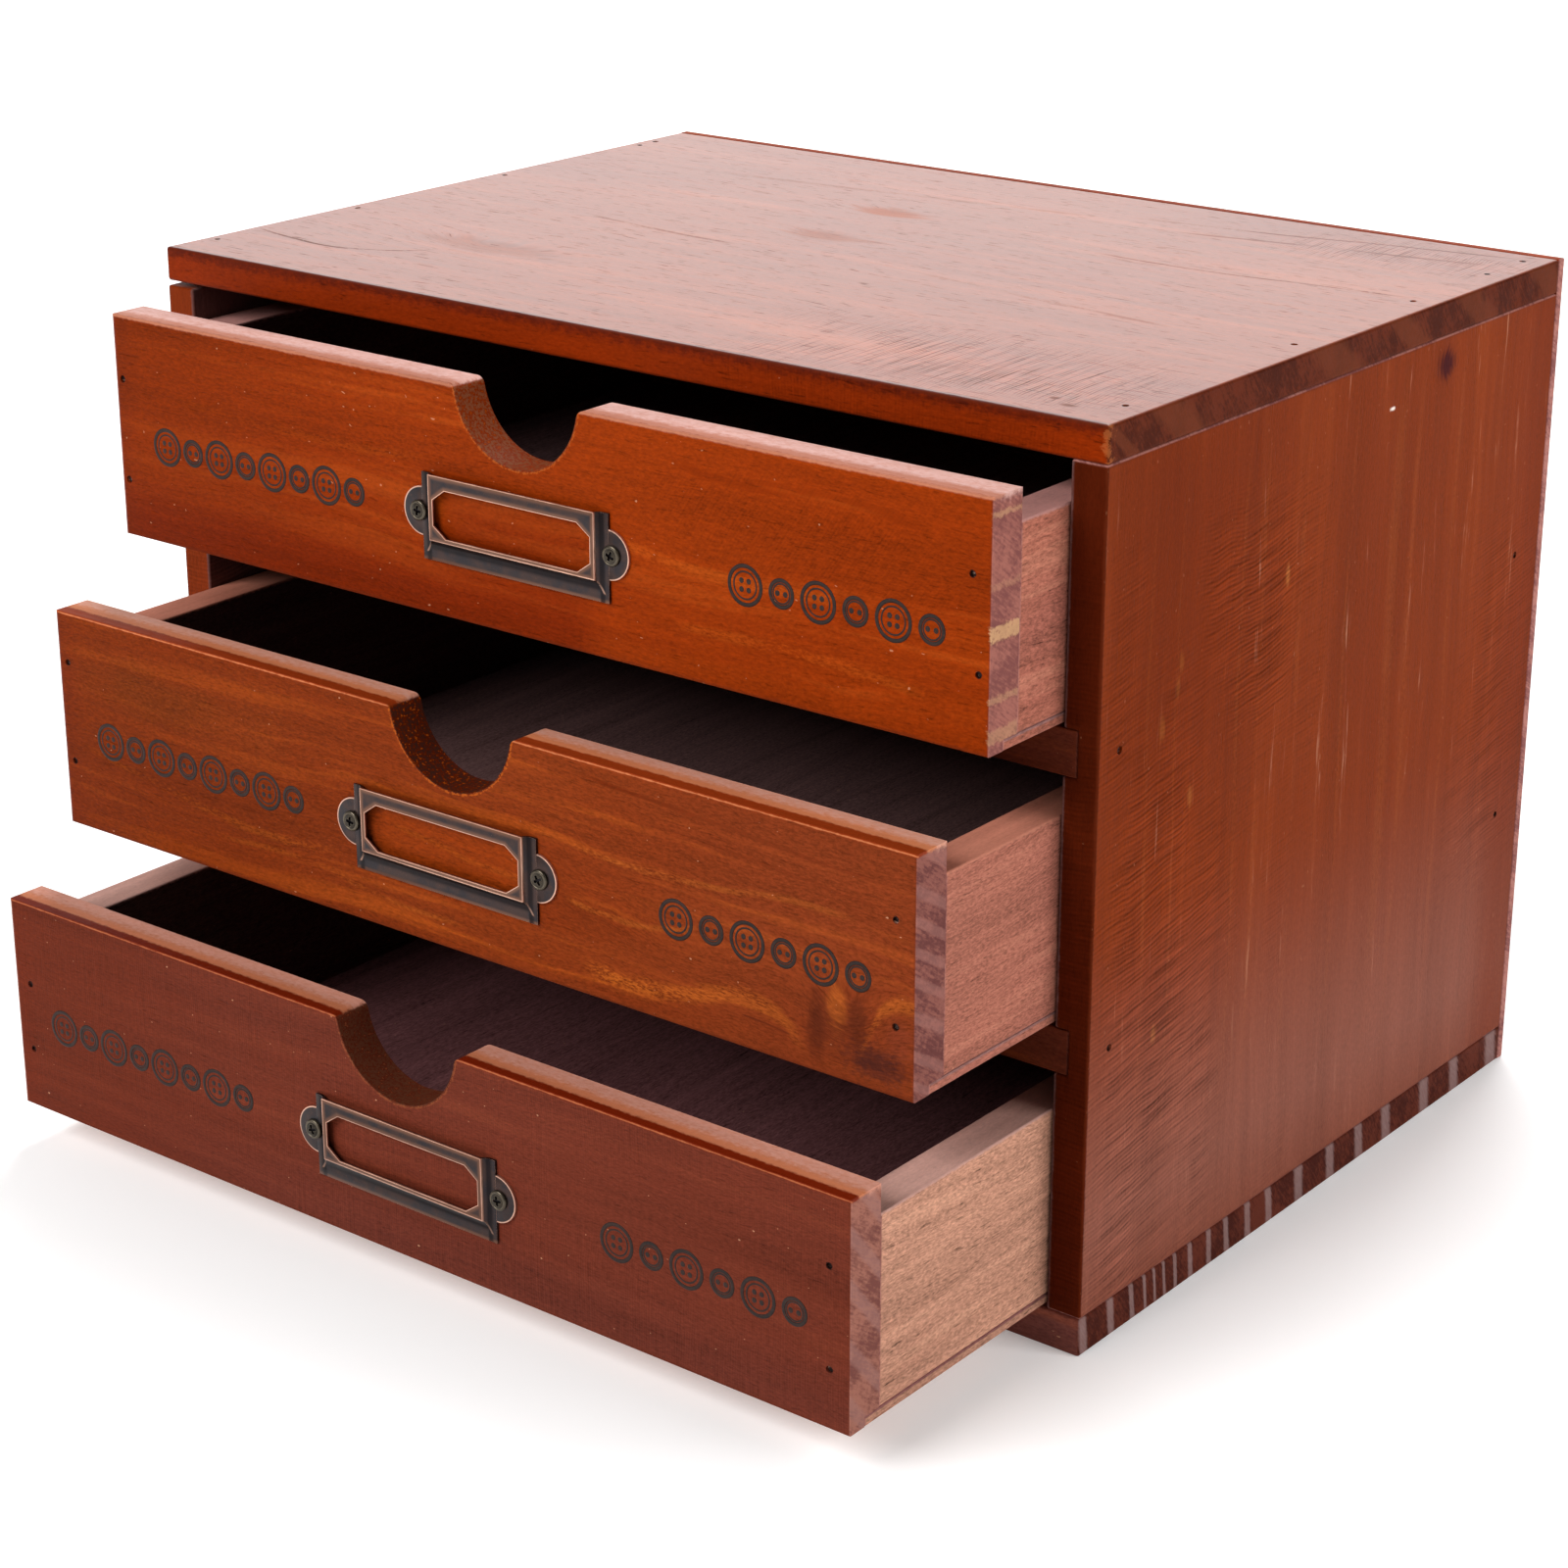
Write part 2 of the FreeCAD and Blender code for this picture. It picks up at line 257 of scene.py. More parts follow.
def copy_piece(piece: Piece, name: str, move: Vector) -> Piece:
    """Copies a piece with its own mesh and moves the copy's mesh.

    Args:
        piece: The piece to copy.
        name: The copy's name.
        move: How far the copy lies from the first.

    Returns:
        The copy.
    """
    pick_up(piece)
    bpy.ops.object.duplicate(linked=False)
    copy = bpy.context.view_layer.objects.active
    copy.name = copy.data.name = name
    copy.location = move
    bpy.ops.object.transform_apply(location=True, rotation=True, scale=True)
    return copy


def nail_places(node: str, axis: Axis) -> list[Vector]:
    """Finds the middle of each nail in a node that holds a group of them.

    Args:
        node: The nails' node.
        axis: The axis that the nails are driven along.

    Returns:
        One point for each nail.
    """
    others = [other for other in Axis if other != axis]
    nails: list[list[Vector]] = []
    for vertex in bpy.data.objects[node].data.vertices:
        for nail in nails:
            beside = max(abs(vertex.co[other] - nail[0][other]) for other in others)
            along = abs(vertex.co[axis] - nail[0][axis])
            if beside < WIDEST_NAIL and along < LONGEST_NAIL:
                nail.append(vertex.co.copy())
                break
        else:
            nails.append([vertex.co.copy()])
    return [Vector([(min(point[way] for point in nail) + max(point[way] for point in nail)) / 2
                    for way in Axis]) for nail in nails]


# --------------------------------------------------------------------------- shader maths


class Shade:
    """A number that changes over a surface; operators on it add Math nodes."""

    def __init__(self, bench: "NodeBench", socket: Socket) -> None:
        """Wraps the output socket, among one material's nodes, that gives the number."""
        self.bench = bench
        self.socket = socket

    def __add__(self, other: Number) -> "Shade":
        """Adds."""
        return self.bench.math("ADD", self, other)

    def __radd__(self, other: float) -> "Shade":
        """Adds to a plain number."""
        return self.bench.math("ADD", other, self)

    def __sub__(self, other: Number) -> "Shade":
        """Takes away."""
        return self.bench.math("SUBTRACT", self, other)

    def __rsub__(self, other: float) -> "Shade":
        """Takes this from a plain number."""
        return self.bench.math("SUBTRACT", other, self)

    def __mul__(self, other: Number) -> "Shade":
        """Multiplies."""
        return self.bench.math("MULTIPLY", self, other)

    def __rmul__(self, other: float) -> "Shade":
        """Multiplies a plain number."""
        return self.bench.math("MULTIPLY", other, self)

    def __abs__(self) -> "Shade":
        """Drops the sign."""
        return self.bench.math("ABSOLUTE", self)


class NodeBench:
    """One material's nodes, and short ways to add more."""

    def __init__(self, name: str) -> None:
        """Starts an empty material.

        Args:
            name: The material's name.
        """
        self.material = bpy.data.materials.new(name)
        self.material.use_nodes = True
        self.tree = self.material.node_tree
        self.tree.nodes.clear()

    def node(self, kind: str, settings: dict[str, Any] | None = None,
             inputs: dict[Any, Any] | None = None) -> bpy.types.Node:
        """Adds a node.

        Args:
            kind: The node's type.
            settings: Its own options, set before its sockets.
            inputs: Values or links by the socket's name or number.

        Returns:
            The node.
        """
        node = self.tree.nodes.new(kind)
        for name, value in (settings or {}).items():
            if name == "stops":
                self.bend_curve(node, value)
            else:
                setattr(node, name, value)
        for key, value in (inputs or {}).items():
            if isinstance(value, Shade):
                self.tree.links.new(value.socket, node.inputs[key])
            elif isinstance(value, Socket):
                self.tree.links.new(value, node.inputs[key])
            elif isinstance(value, tuple) and node.inputs[key].type == "RGBA":
                node.inputs[key].default_value = (*value, 1.0)
            else:
                node.inputs[key].default_value = value
        return node

    @staticmethod
    def bend_curve(node: bpy.types.Node, stops: Sequence[tuple[float, float]]) -> None:
        """Puts a curve node's points in place.

        Args:
            node: The curve node.
            stops: Its points, at least two, from left to right.
        """
        points = node.mapping.curves[0].points
        points[0].location, points[1].location = stops[0], stops[-1]
        for stop in stops[1:-1]:
            points.new(*stop)
        node.mapping.update()

    def point(self) -> Socket:
        """The place on the piece, in metres."""
        return self.node("ShaderNodeTexCoord").outputs["Object"]

    def gather(self, x: Number, y: Number, z: Number) -> Socket:
        """Puts three numbers together as a point."""
        return self.node("ShaderNodeCombineXYZ", {}, {0: x, 1: y, 2: z}).outputs[0]

    def math(self, operation: str, *values: Number) -> Shade:
        """Adds a Math node that works on one, two or three numbers."""
        node = self.node("ShaderNodeMath", {"operation": operation}, dict(enumerate(values)))
        return Shade(self, node.outputs[0])

    def most(self, *values: Number) -> Shade:
        """The greatest of two or more numbers."""
        return reduce(lambda one, other: self.math("MAXIMUM", one, other), values)

    def least(self, *values: Number) -> Shade:
        """The least of two or more numbers."""
        return reduce(lambda one, other: self.math("MINIMUM", one, other), values)

    def length(self, x: Shade, y: Shade) -> Shade:
        """The length of the slope between two sides at a right angle."""
        return self.math("SQRT", x * x + y * y)

    def step(self, value: Shade, start: float, end: float) -> Shade:
        """Rises smoothly from 0 at start to 1 at end, or falls where end is the lower.

        Args:
            value: The number that is compared.
            start: Where the result leaves 0.
            end: Where the result reaches 1.

        Returns:
            The mask.
        """
        node = self.node("ShaderNodeMapRange", {"interpolation_type": "SMOOTHSTEP"},
                         {0: value, 1: start, 2: end, 3: 0.0, 4: 1.0})
        return Shade(self, node.outputs[0])

    def mix(self, factor: Number, under: Any, over: Any, way: str = "MIX") -> Socket:
        """Mixes two colours.

        Args:
            factor: How much of the second colour shows.
            under: The first colour or its socket.
            over: The second colour or its socket.
            way: How the two combine.

        Returns:
            The mixed colour's socket.
        """
        node = self.node("ShaderNodeMix", {"data_type": "RGBA", "blend_type": way},
                         {0: factor, 6: under, 7: over})
        return node.outputs[2]

    def tint(self, colour: Any, tone: Shade) -> Socket:
        """Multiplies a colour or its socket by a number."""
        return self.mix(1.0, colour, self.gather(tone, tone, tone), "MULTIPLY")

    def noise(self, point: Socket, scales: tuple[float, float, float],
              detail: float = 2.0, roughness: float = 0.5, shift: float = 0.0) -> Shade:
        """Adds cloudy noise, stretched by its scales.

        Args:
            point: Where the noise is read.
            scales: Noise cells per metre on each axis.
            detail: How many finer layers are added.
            roughness: How strong the finer layers are.
            shift: Moves to another part of the noise.

        Returns:
            The noise, from 0 to 1 about 0.5.
        """
        scaled = self.node("ShaderNodeVectorMath", {"operation": "MULTIPLY_ADD"},
                           {0: point, 1: scales, 2: (shift, 1.7 * shift, 2.3 * shift)})
        node = self.node("ShaderNodeTexNoise", {"noise_dimensions": "3D"},
                         {"Vector": scaled.outputs[0], "Scale": 1.0, "Detail": detail,
                          "Roughness": roughness})
        return Shade(self, node.outputs[0])

    def finish(self, surface: dict[str, Any], height: Shade, relief: float) -> None:
        """Ends the material in one glossy surface shader.

        Args:
            surface: The shader's sockets and what goes into them.
            height: The surface's relief.
            relief: What a height of one stands for, in metres.
        """
        shader = self.node("ShaderNodeBsdfPrincipled", {}, surface)
        bump = self.node("ShaderNodeBump", {}, {
            "Strength": 1.0, "Distance": relief, "Height": height})
        self.tree.links.new(bump.outputs["Normal"], shader.inputs["Normal"])
        output = self.node("ShaderNodeOutputMaterial")
        self.tree.links.new(shader.outputs[0], output.inputs["Surface"])


# --------------------------------------------------------------------------- wood finishes

Span = Union[tuple[float, float], None]


class Grain(Enum):
    """Axes of a board: along its fibres, across its face, and through its thickness."""

    FRONT = (Axis.X, Axis.Z, Axis.Y)
    SHELF = (Axis.X, Axis.Y, Axis.Z)
    UPRIGHT = (Axis.Z, Axis.Y, Axis.X)
    RUNNER = (Axis.Y, Axis.Z, Axis.X)
    PANEL = (Axis.Y, Axis.X, Axis.Z)


@dataclass(frozen=True)
class Area:
    """A soft-edged part of a board, in millimetres from its middle; None has no limit."""

    along: Span = None
    across: Span = None
    through: Span = None
    soft: float = 2.0
    fray: float = 1.0


@dataclass(frozen=True)
class Stain:
    """Another colour over an area of a board."""

    area: Area
    colour: Colour
    strength: float = 1.0


@dataclass(frozen=True)
class Vein:
    """A line of other wood through points (along, across) in millimetres from the middle."""

    points: tuple[tuple[float, float], ...]
    colour: Colour
    width: float = 0.8
    strength: float = 0.6


@dataclass(frozen=True)
class Knot:
    """A spot of other wood that the growth rings bend round; lengths in millimetres."""

    along: float
    across: float
    reach_along: float
    reach_across: float
    colour: Colour = (0.0, 0.0, 0.0)
    strength: float = 0.0
    lift: float = 0.0


@dataclass(frozen=True)
class SawMarks:
    """Fine marks of the saw across the fibres of an area; pitch in millimetres."""

    area: Area
    strength: float = 0.3
    pitch: float = 0.75
    lean: float = 0.1


@dataclass(frozen=True)
class EndRings:
    """Growth rings over a board's ends, by their places across it in millimetres."""

    places: tuple[float, ...]
    colour: Colour
    width: float = 0.2
    lean: float = 0.1
    strength: float = 0.8


@dataclass(frozen=True)
class Notch:
    """The sawn finger notch: its middle along and across the board and its radius."""

    along: float
    across: float
    radius: float
    colour: Colour
    grit: float


@dataclass(frozen=True)
class Figure:
    """How strongly each layer of a wood's figure shows, from 0 to about 1."""

    rings: float = 0.3
    blotch: float = 0.4
    gold: float = 0.2
    broad: float = 0.4
    coarse: float = 0.3
    fine: float = 0.25
    mottle: float = 0.55
    dashes: float = 0.2
    specks: float = 0.45


@dataclass(frozen=True)
class Timber:
    """One board's wood, stain and varnish. Colours are linear, lengths in metres."""

    name: str
    grain: Grain
    pale: Colour
    deep: Colour
    blotch: Colour
    gold: Colour
    edge_colour: Colour
    end_pale: Colour = (0.40, 0.17, 0.14)
    end_deep: Colour = (0.20, 0.07, 0.065)
    end_rings: EndRings | None = None
    figure: Figure = Figure()
    edge_strength: float = 0.5
    edge_width: float = 0.8 * MM
    stains: tuple[Stain, ...] = ()
    overlays: tuple[Stain, ...] = ()
    veins: tuple[Vein, ...] = ()
    knots: tuple[Knot, ...] = ()
    saws: tuple[SawMarks, ...] = ()
    notch: Notch | None = None
    seed: float = 0.0
    pith: tuple[float, float] = (0.012, -0.05)
    ring_width: float = 0.0052
    wave: float = 0.006
    relief: float = 0.05 * MM
    roughness: float = 0.45
    specular: float = 0.04
    gleam: Colour = (1.0, 0.3, 0.06)
    varnish: float = 0.0
    varnish_roughness: float = 0.25


class TimberBench(NodeBench):
    """Builds one board's wood from its fibres, rings, stain, edges and ends."""

    def __init__(self, timber: Timber, low: Vector, high: Vector) -> None:
        """Reads the board's place and lays out its figure.

        Args:
            timber: The wood and its finish.
            low: The board's lowest corner.
            high: The board's highest corner.
        """
        super().__init__(timber.name)
        self.timber = timber
        self.centre = (low + high) / 2
        half = (high - low) / 2
        axes = timber.grain.value
        self.half = [half[axis] for axis in axes]
        parts = self.node("ShaderNodeSeparateXYZ", {}, {0: self.point()})
        self.along, self.across, self.through = (
            Shade(self, parts.outputs[axis]) - self.centre[axis] for axis in axes)
        seed = timber.seed
        self.plain = self.gather(self.along, self.across, self.through)
        self.cloud = self.noise(self.plain, (11, 26, 26), 3.0, 0.55, seed + 43)
        self.grit = self.noise(self.plain, (700, 1100, 1100), 2.0, 0.6, seed + 5)
        slow = self.noise(self.plain, (7, 20, 20), 2.0, 0.5, seed) - 0.5
        self.quick = self.noise(self.plain, (40, 110, 110), 2.0, 0.5, seed + 9) - 0.5
        sway = slow * (2 * timber.wave) + self.quick * (0.4 * timber.wave)
        self.hills = [self.hill(knot) for knot in timber.knots]
        for knot, hill in zip(timber.knots, self.hills):
            if knot.lift:
                sway = sway + hill * (knot.lift * MM)
        across = self.across - timber.pith[0]
        through = self.through - timber.pith[1]
        self.depth = self.length(across, through) + sway
        fibres = self.gather(self.along, self.across + sway, self.through)
        self.broad = self.noise(fibres, (5, 70, 70), 2.0, 0.5, seed + 61)
        self.coarse = self.noise(fibres, (10, 270, 270), 3.0, 0.6, seed + 37)
        self.fine = self.noise(fibres, (50, 1000, 1000), 3.0, 0.65, seed + 31)
        self.mottle = self.noise(fibres, (800, 2300, 2300), 2.0, 0.7, seed + 71)
        self.dashes = self.step(
            self.noise(fibres, (190, 2300, 2300), 1.0, 0.5, seed + 41), 0.64, 0.74)
        self.dull = self.dashes * 0.5

    def hill(self, knot: Knot) -> Shade:
        """A soft hill over a knot.

        Args:
            knot: Its place and reach.

        Returns:
            A number from 0 far away to 1 at the knot's middle.
        """
        far_along = (self.along - knot.along * MM) * (1 / (knot.reach_along * MM))
        far_across = (self.across - knot.across * MM) * (1 / (knot.reach_across * MM))
        return self.math("EXPONENT", (far_along * far_along + far_across * far_across) * -1.0)

    def mask(self, area: Area) -> Number:
        """Masks an area with soft and frayed edges.

        Args:
            area: The part of the board.

        Returns:
            The mask, 1 inside; a plain 1 where the area has no limits.
        """
        shade: Number = 1.0
        ragged = (self.grit - 0.5) * (area.fray * area.soft * MM)
        for place, span in zip((self.along, self.across, self.through),
                               (area.along, area.across, area.through)):
            if span is not None:
                gap = abs(place - (span[0] + span[1]) / 2 * MM) + ragged
                reach = (span[1] - span[0]) / 2 * MM
                soft = area.soft * MM / 2
                shade = self.step(gap, reach + soft, reach - soft) * shade
        return shade

    def rings(self) -> Shade:
        """Masks the dark late wood of each growth ring, uneven from ring to ring.

        Returns:
            The mask.
        """
        turn = self.depth * (1 / self.timber.ring_width)
        ring = self.math("FRACT", turn)
        late = self.step(ring, 0.25, 0.9) * self.step(ring, 1.0, 0.93)
        uneven = self.noise(self.gather(turn, self.along, 0.0), (0.9, 9.0, 1.0), 1.0, 0.5, 3.0)
        return late * self.step(uneven, 0.3, 0.75)

    def lay_vein(self, vein: Vein, colour: Socket) -> Socket:
        """Draws one line of other wood.

        Args:
            vein: The line.
            colour: The board's colour so far.

        Returns:
            The colour with the line.
        """
        start, end = vein.points[0][0], vein.points[-1][0]
        bottom = min(across for _, across in vein.points) - 1.0
        rise = max(across for _, across in vein.points) + 1.0 - bottom
        stops = [((along - start) / (end - start), (across - bottom) / rise)
                 for along, across in vein.points]
        place = (self.along - start * MM) * (1 / ((end - start) * MM))
        curve = self.node("ShaderNodeFloatCurve", {"stops": stops}, {"Value": place})
        line = Shade(self, curve.outputs[0]) * (rise * MM) + bottom * MM
        gap = abs(self.across + self.quick * (1.6 * MM) - line)
        gap = gap + (self.fine - 0.5) * (1.4 * vein.width * MM)
        ends = self.step(place, 0.0, 0.12) * self.step(place, 1.0, 0.88)
        band = self.step(gap, vein.width * MM, 0.2 * vein.width * MM) * ends
        band = band * self.step(self.mottle + self.quick, 0.28, 0.6) * vein.strength
        self.dull = self.most(self.dull, band)
        return self.mix(band, colour, vein.colour)

    def edges(self) -> Shade:
        """Masks the rubbed strip along every edge of the board.

        Returns:
            The mask.
        """
        gaps = [self.math("SUBTRACT", half, abs(place)) for half, place in
                zip(self.half, (self.along, self.across, self.through))]
        nearer, farther = self.least(*gaps[:2]), self.most(*gaps[:2])
        middle = self.most(nearer, self.least(farther, gaps[2]))
        rough = self.noise(self.plain, (170, 170, 170), 3.0, 0.6, self.timber.seed + 5) - 0.5
        width = self.timber.edge_width
        return self.step(middle + rough * (1.6 * width), width, 0.15 * width)

    def end_wood(self, ends: Shade, colour: Socket) -> Socket:
        """Lays end-grain wood over the board's ends.

        Args:
            ends: Where the ends are.
            colour: The board's colour so far.

        Returns:
            The colour with its ends.
        """
        timber = self.timber
        lean = self.across + self.through * 0.7
        back = self.through - self.across * 0.7
        strokes = self.noise(self.gather(lean, back, 0.0), (1500, 260, 1), 2.0, 0.6,
                             timber.seed + 23)
        clump = self.noise(self.gather(self.across, self.through, 0.0), (110, 45, 1), 2.0, 0.6,
                           timber.seed + 21)
        tone = self.step(clump + (strokes - 0.5) * 0.8 + (self.grit - 0.5) * 0.5, 0.3, 0.7)
        end = self.mix(tone, timber.end_pale, timber.end_deep)
        rings = timber.end_rings
        if rings is not None:
            low, high = rings.places[0], rings.places[-1]
            stops = [((place - low) / (high - low), number / (len(rings.places) - 1))
                     for number, place in enumerate(rings.places)]
            where = (self.across + self.through * rings.lean + (clump - 0.5) * (1.2 * MM)
                     - low * MM) * (1 / ((high - low) * MM))
            curve = self.node("ShaderNodeFloatCurve", {"stops": stops}, {"Value": where})
            turn = Shade(self, curve.outputs[0]) * (len(rings.places) - 1) + 0.5
            gap = abs(self.math("FRACT", turn) - 0.5) + (strokes - 0.5) * 0.12
            ring = self.step(gap, rings.width, 0.45 * rings.width)
            end = self.mix(ring * (0.5 + strokes) * rings.strength, end, rings.colour)
        return self.mix(ends, colour, end)

    def notch_wood(self, colour: Socket) -> Socket:
        """Darkens the sawn wall of the finger notch and frays its front edge.

        Args:
            colour: The board's colour so far.

        Returns:
            The colour with its notch.
        """
        notch = self.timber.notch
        far_along = self.along - notch.along
        far_across = self.across - notch.across
        distance = self.length(far_along, far_across) - notch.radius
        grit = self.noise(self.plain, (1500, 1500, 1500), 2.0, 0.6, self.timber.seed + 61)
        wall = self.step(distance + (grit - 0.5) * (0.3 * MM), 0.55 * MM, 0.2 * MM)
        sawn = self.mix(self.step(grit, 0.4, 0.62), notch.colour, self.timber.deep)
        sawn = self.mix(self.step(grit, 0.6, 0.7) * notch.grit, sawn, self.timber.gold)
        colour = self.mix(wall, colour, sawn)
        lip = self.step(abs(distance - 0.4 * MM) + (grit - 0.5) * (1.6 * MM), 0.22 * MM,
                        0.05 * MM)
        facing = self.step(self.through, 0.55 * MM - self.half[2], 0.1 * MM - self.half[2])
        return self.mix(lip * facing * 0.7, colour, self.timber.gold)

    def paint_over(self, colour: Socket) -> Socket:
        """Paints the streaky stains that lie over everything else.

        Args:
            colour: The board's colour so far.

        Returns:
            The colour with those stains.
        """
        streak = self.coarse * 0.5 + self.broad * 0.4 + self.mottle * 0.25 + 0.42
        for stain in self.timber.overlays:
            colour = self.mix(self.mask(stain.area) * stain.strength, colour,
                              self.tint(stain.colour, streak))
        return colour

    def pit(self, places: Sequence[Vector], radius: float, colour: Socket) -> Socket:
        """Blackens the punched nail pits, with a few light splinters.

        Args:
            places: The middle of each pit.
            radius: The pits' radius.
            colour: The board's colour so far.

        Returns:
            The colour with its pits.
        """
        axes = self.timber.grain.value
        pits: Number = 0.0
        ragged = (self.grit - 0.5) * (0.9 * radius)
        for place in places:
            far_along = self.along - (place[axes[0]] - self.centre[axes[0]])
            far_across = self.across - (place[axes[1]] - self.centre[axes[1]])
            distance = self.length(far_along, far_across) + ragged
            pits = self.most(self.step(distance, 1.25 * radius, 0.85 * radius), pits)
        splinters = self.step(self.grit, 0.6, 0.68) * 0.8
        black = self.mix(splinters, (0.012, 0.006, 0.005), (0.50, 0.32, 0.25))
        return self.mix(pits, colour, black)

    def saw_lines(self, saw: SawMarks) -> Shade:
        """Draws the fine broken lines that a saw left across the fibres.

        Args:
            saw: The saw's marks.

        Returns:
            The lines, swinging about 0 and fading out round their area.
        """
        row = self.along + self.across * saw.lean
        pitch = saw.pitch * MM
        broken = self.noise(self.gather(row, self.across, self.through),
                            (1.2 / pitch, 60, 60), 1.0, 0.5, self.timber.seed + 51)
        wave = self.math("SINE", row * (2 * math.pi / pitch) + self.cloud * 60)
        patch = self.mask(saw.area) * self.step(self.cloud, 0.3, 0.55)
        return (wave * 0.3 + (broken - 0.5) * 2.2) * patch

    def base_colour(self) -> Socket:
        """Mixes the wood's own colours, veins, knots and stains.

        Returns:
            The colour's socket.
        """
        timber, figure = self.timber, self.timber.figure
        colour = self.mix(self.rings() * figure.rings, timber.pale, timber.deep)
        colour = self.mix(self.step(self.cloud, 0.42, 0.72) * figure.blotch, colour,
                          timber.blotch)
        colour = self.mix(self.step(self.coarse + (self.broad - 0.5) * 0.5, 0.52, 0.72)
                          * figure.gold, colour, timber.gold)
        for vein in timber.veins:
            colour = self.lay_vein(vein, colour)
        for knot, hill in zip(timber.knots, self.hills):
            if knot.strength:
                heart = hill + (self.fine - 0.5) * 1.2 + (self.coarse - 0.5) * 0.8
                heart = self.step(heart, 0.2, 0.9) * knot.strength
                self.dull = self.most(self.dull, heart)
                colour = self.mix(heart, colour, knot.colour)
        for stain in timber.stains:
            colour = self.mix(self.mask(stain.area) * stain.strength, colour, stain.colour)
        return colour

    def build(self, pits: Sequence[Vector], pit_radius: float) -> bpy.types.Material:
        """Puts the board's whole surface together.

        Args:
            pits: The middle of each nail pit.
            pit_radius: The pits' radius.

        Returns:
            The finished material.
        """
        timber, figure = self.timber, self.timber.figure
        colour = self.base_colour()
        tone = (self.broad - 0.5) * figure.broad + (self.coarse - 0.5) * (1.5 * figure.coarse)
        tone = tone + (self.fine - 0.5) * (1.8 * figure.fine)
        tone = tone + (self.mottle - 0.5) * (2.2 * figure.mottle)
        tone = 1.0 + tone - self.dashes * figure.dashes
        height = self.fine * 0.7 + self.mottle * 0.6 + self.coarse * 0.5 - self.dashes * 0.7
        for saw in timber.saws:
            lines = self.saw_lines(saw) * saw.strength
            tone = tone - lines
            height = height - lines * 1.5
            self.dull = self.most(self.dull, lines * 1.2)
        colour = self.tint(colour, self.most(tone, 0.12))
        specks = self.noise(self.plain, (850, 1300, 1300), 0.0, 0.5, timber.seed + 83)
        colour = self.mix(self.step(specks, 0.855, 0.885) * figure.specks, colour,
                          (0.70, 0.36, 0.20))
        colour = self.mix(self.edges() * timber.edge_strength, colour, timber.edge_colour)
        sheen = self.step(self.through, self.half[2] - 0.3 * MM, self.half[2] - 0.05 * MM)
        ends = self.step(abs(self.along), self.half[0] - 0.45 * MM, self.half[0] - 0.12 * MM)
        colour = self.end_wood(ends, colour)
        if timber.overlays:
            colour = self.paint_over(colour)
        if timber.notch is not None:
            colour = self.notch_wood(colour)
        if pits:
            colour = self.pit(pits, pit_radius, colour)
        self.finish({
            "Base Color": colour,
            "Roughness": timber.roughness + (self.fine - 0.5) * 0.2 + self.dull * 0.25
            + ends * 0.2,
            "Specular IOR Level": timber.specular,
            "Specular Tint": timber.gleam,
            "Coat Weight": (1.0 - self.dull) * sheen * timber.varnish,
            "Coat Roughness": timber.varnish_roughness,
        }, height, timber.relief)
        return self.material


# --------------------------------------------------------------------------- boards


@dataclass(frozen=True)
class NailRow:
    """The punched pits over one node's nails, on the face that the nails went into."""

    node: str
    axis: Axis
    outward: int
    radius: float = 0.7 * MM
    depth: float = 0.85 * MM
    reach: float = 15 * MM
    spread: tuple[float, float] = (0.9, 1.25)
    roughness: float = 0.12

    def places(self, low: Vector, high: Vector) -> list[Vector]:
        """Finds where the nails went into the board.

        Args:
            low: The board's lowest corner.
            high: The board's highest corner.

        Returns:
            One point on the board's face for each nail.
        """
        face = high[self.axis] if self.outward > 0 else low[self.axis]
        places = [place for place in nail_places(self.node, self.axis)
                  if abs(place[self.axis] - face) < self.reach]
        for place in places:
            place[self.axis] = face
        return places

    def pit_cutters(self, places: Sequence[Vector]) -> list[Piece]:
        """Makes an uneven lump for each nail.

        Args:
            places: The nails' places on the board's face.

        Returns:
            The lumps, for cutting the pits.
        """
        lumps = []
        for number, place in enumerate(places):
            size = [self.radius * random.uniform(*self.spread) for _ in Axis]
            size[self.axis] = self.depth
            clear_bench()
            bpy.ops.mesh.primitive_ico_sphere_add(subdivisions=3, radius=1.0, location=place,
                                                  scale=size)
            lump = settle("pit_cutter")
            with shaping(lump):
                bpy.ops.mesh.select_all(action="SELECT")
                bpy.ops.transform.vertex_random(offset=self.roughness * min(size),
                                                seed=number + 1)
            lumps.append(lump)
        return lumps


@dataclass
class Board:
    """A board remade over its node, with eased edges, pits over its nails and its wood."""

    node: str
    body: str
    slot: str
    timber: Timber
    easing: float = 0.5 * MM
    grooves: list[tuple[Vector, Vector]] = field(default_factory=list)
    nails: NailRow | None = None

    def build(self) -> None:
        """Saws, eases, pits and dresses the board, which rides in place of its node."""
        low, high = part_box(self.node)
        board = saw_block(f"{self.node}_wood", low, high)
        self.shape(board, low, high)
        for start, end in self.grooves:
            cut_away(board, saw_block("groove", start, end))
        ease_edges(board, self.easing)
        pits = self.nails.places(low, high) if self.nails else []
        if pits:
            cut_away(board, join_pieces(self.nails.pit_cutters(pits), "pit_cutters"))
        smooth_faces(board)
        radius = self.nails.radius if self.nails else 0.0
        board.data.materials.append(TimberBench(self.timber, low, high).build(pits, radius))
        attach(board, self.body)
        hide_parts(self.node)
        LOG.info("board %s: %d faces", board.name, len(board.data.polygons))

    def shape(self, board: Piece, low: Vector, high: Vector) -> None:
        """Gives a special board its own outline; a plain one stays as sawn."""


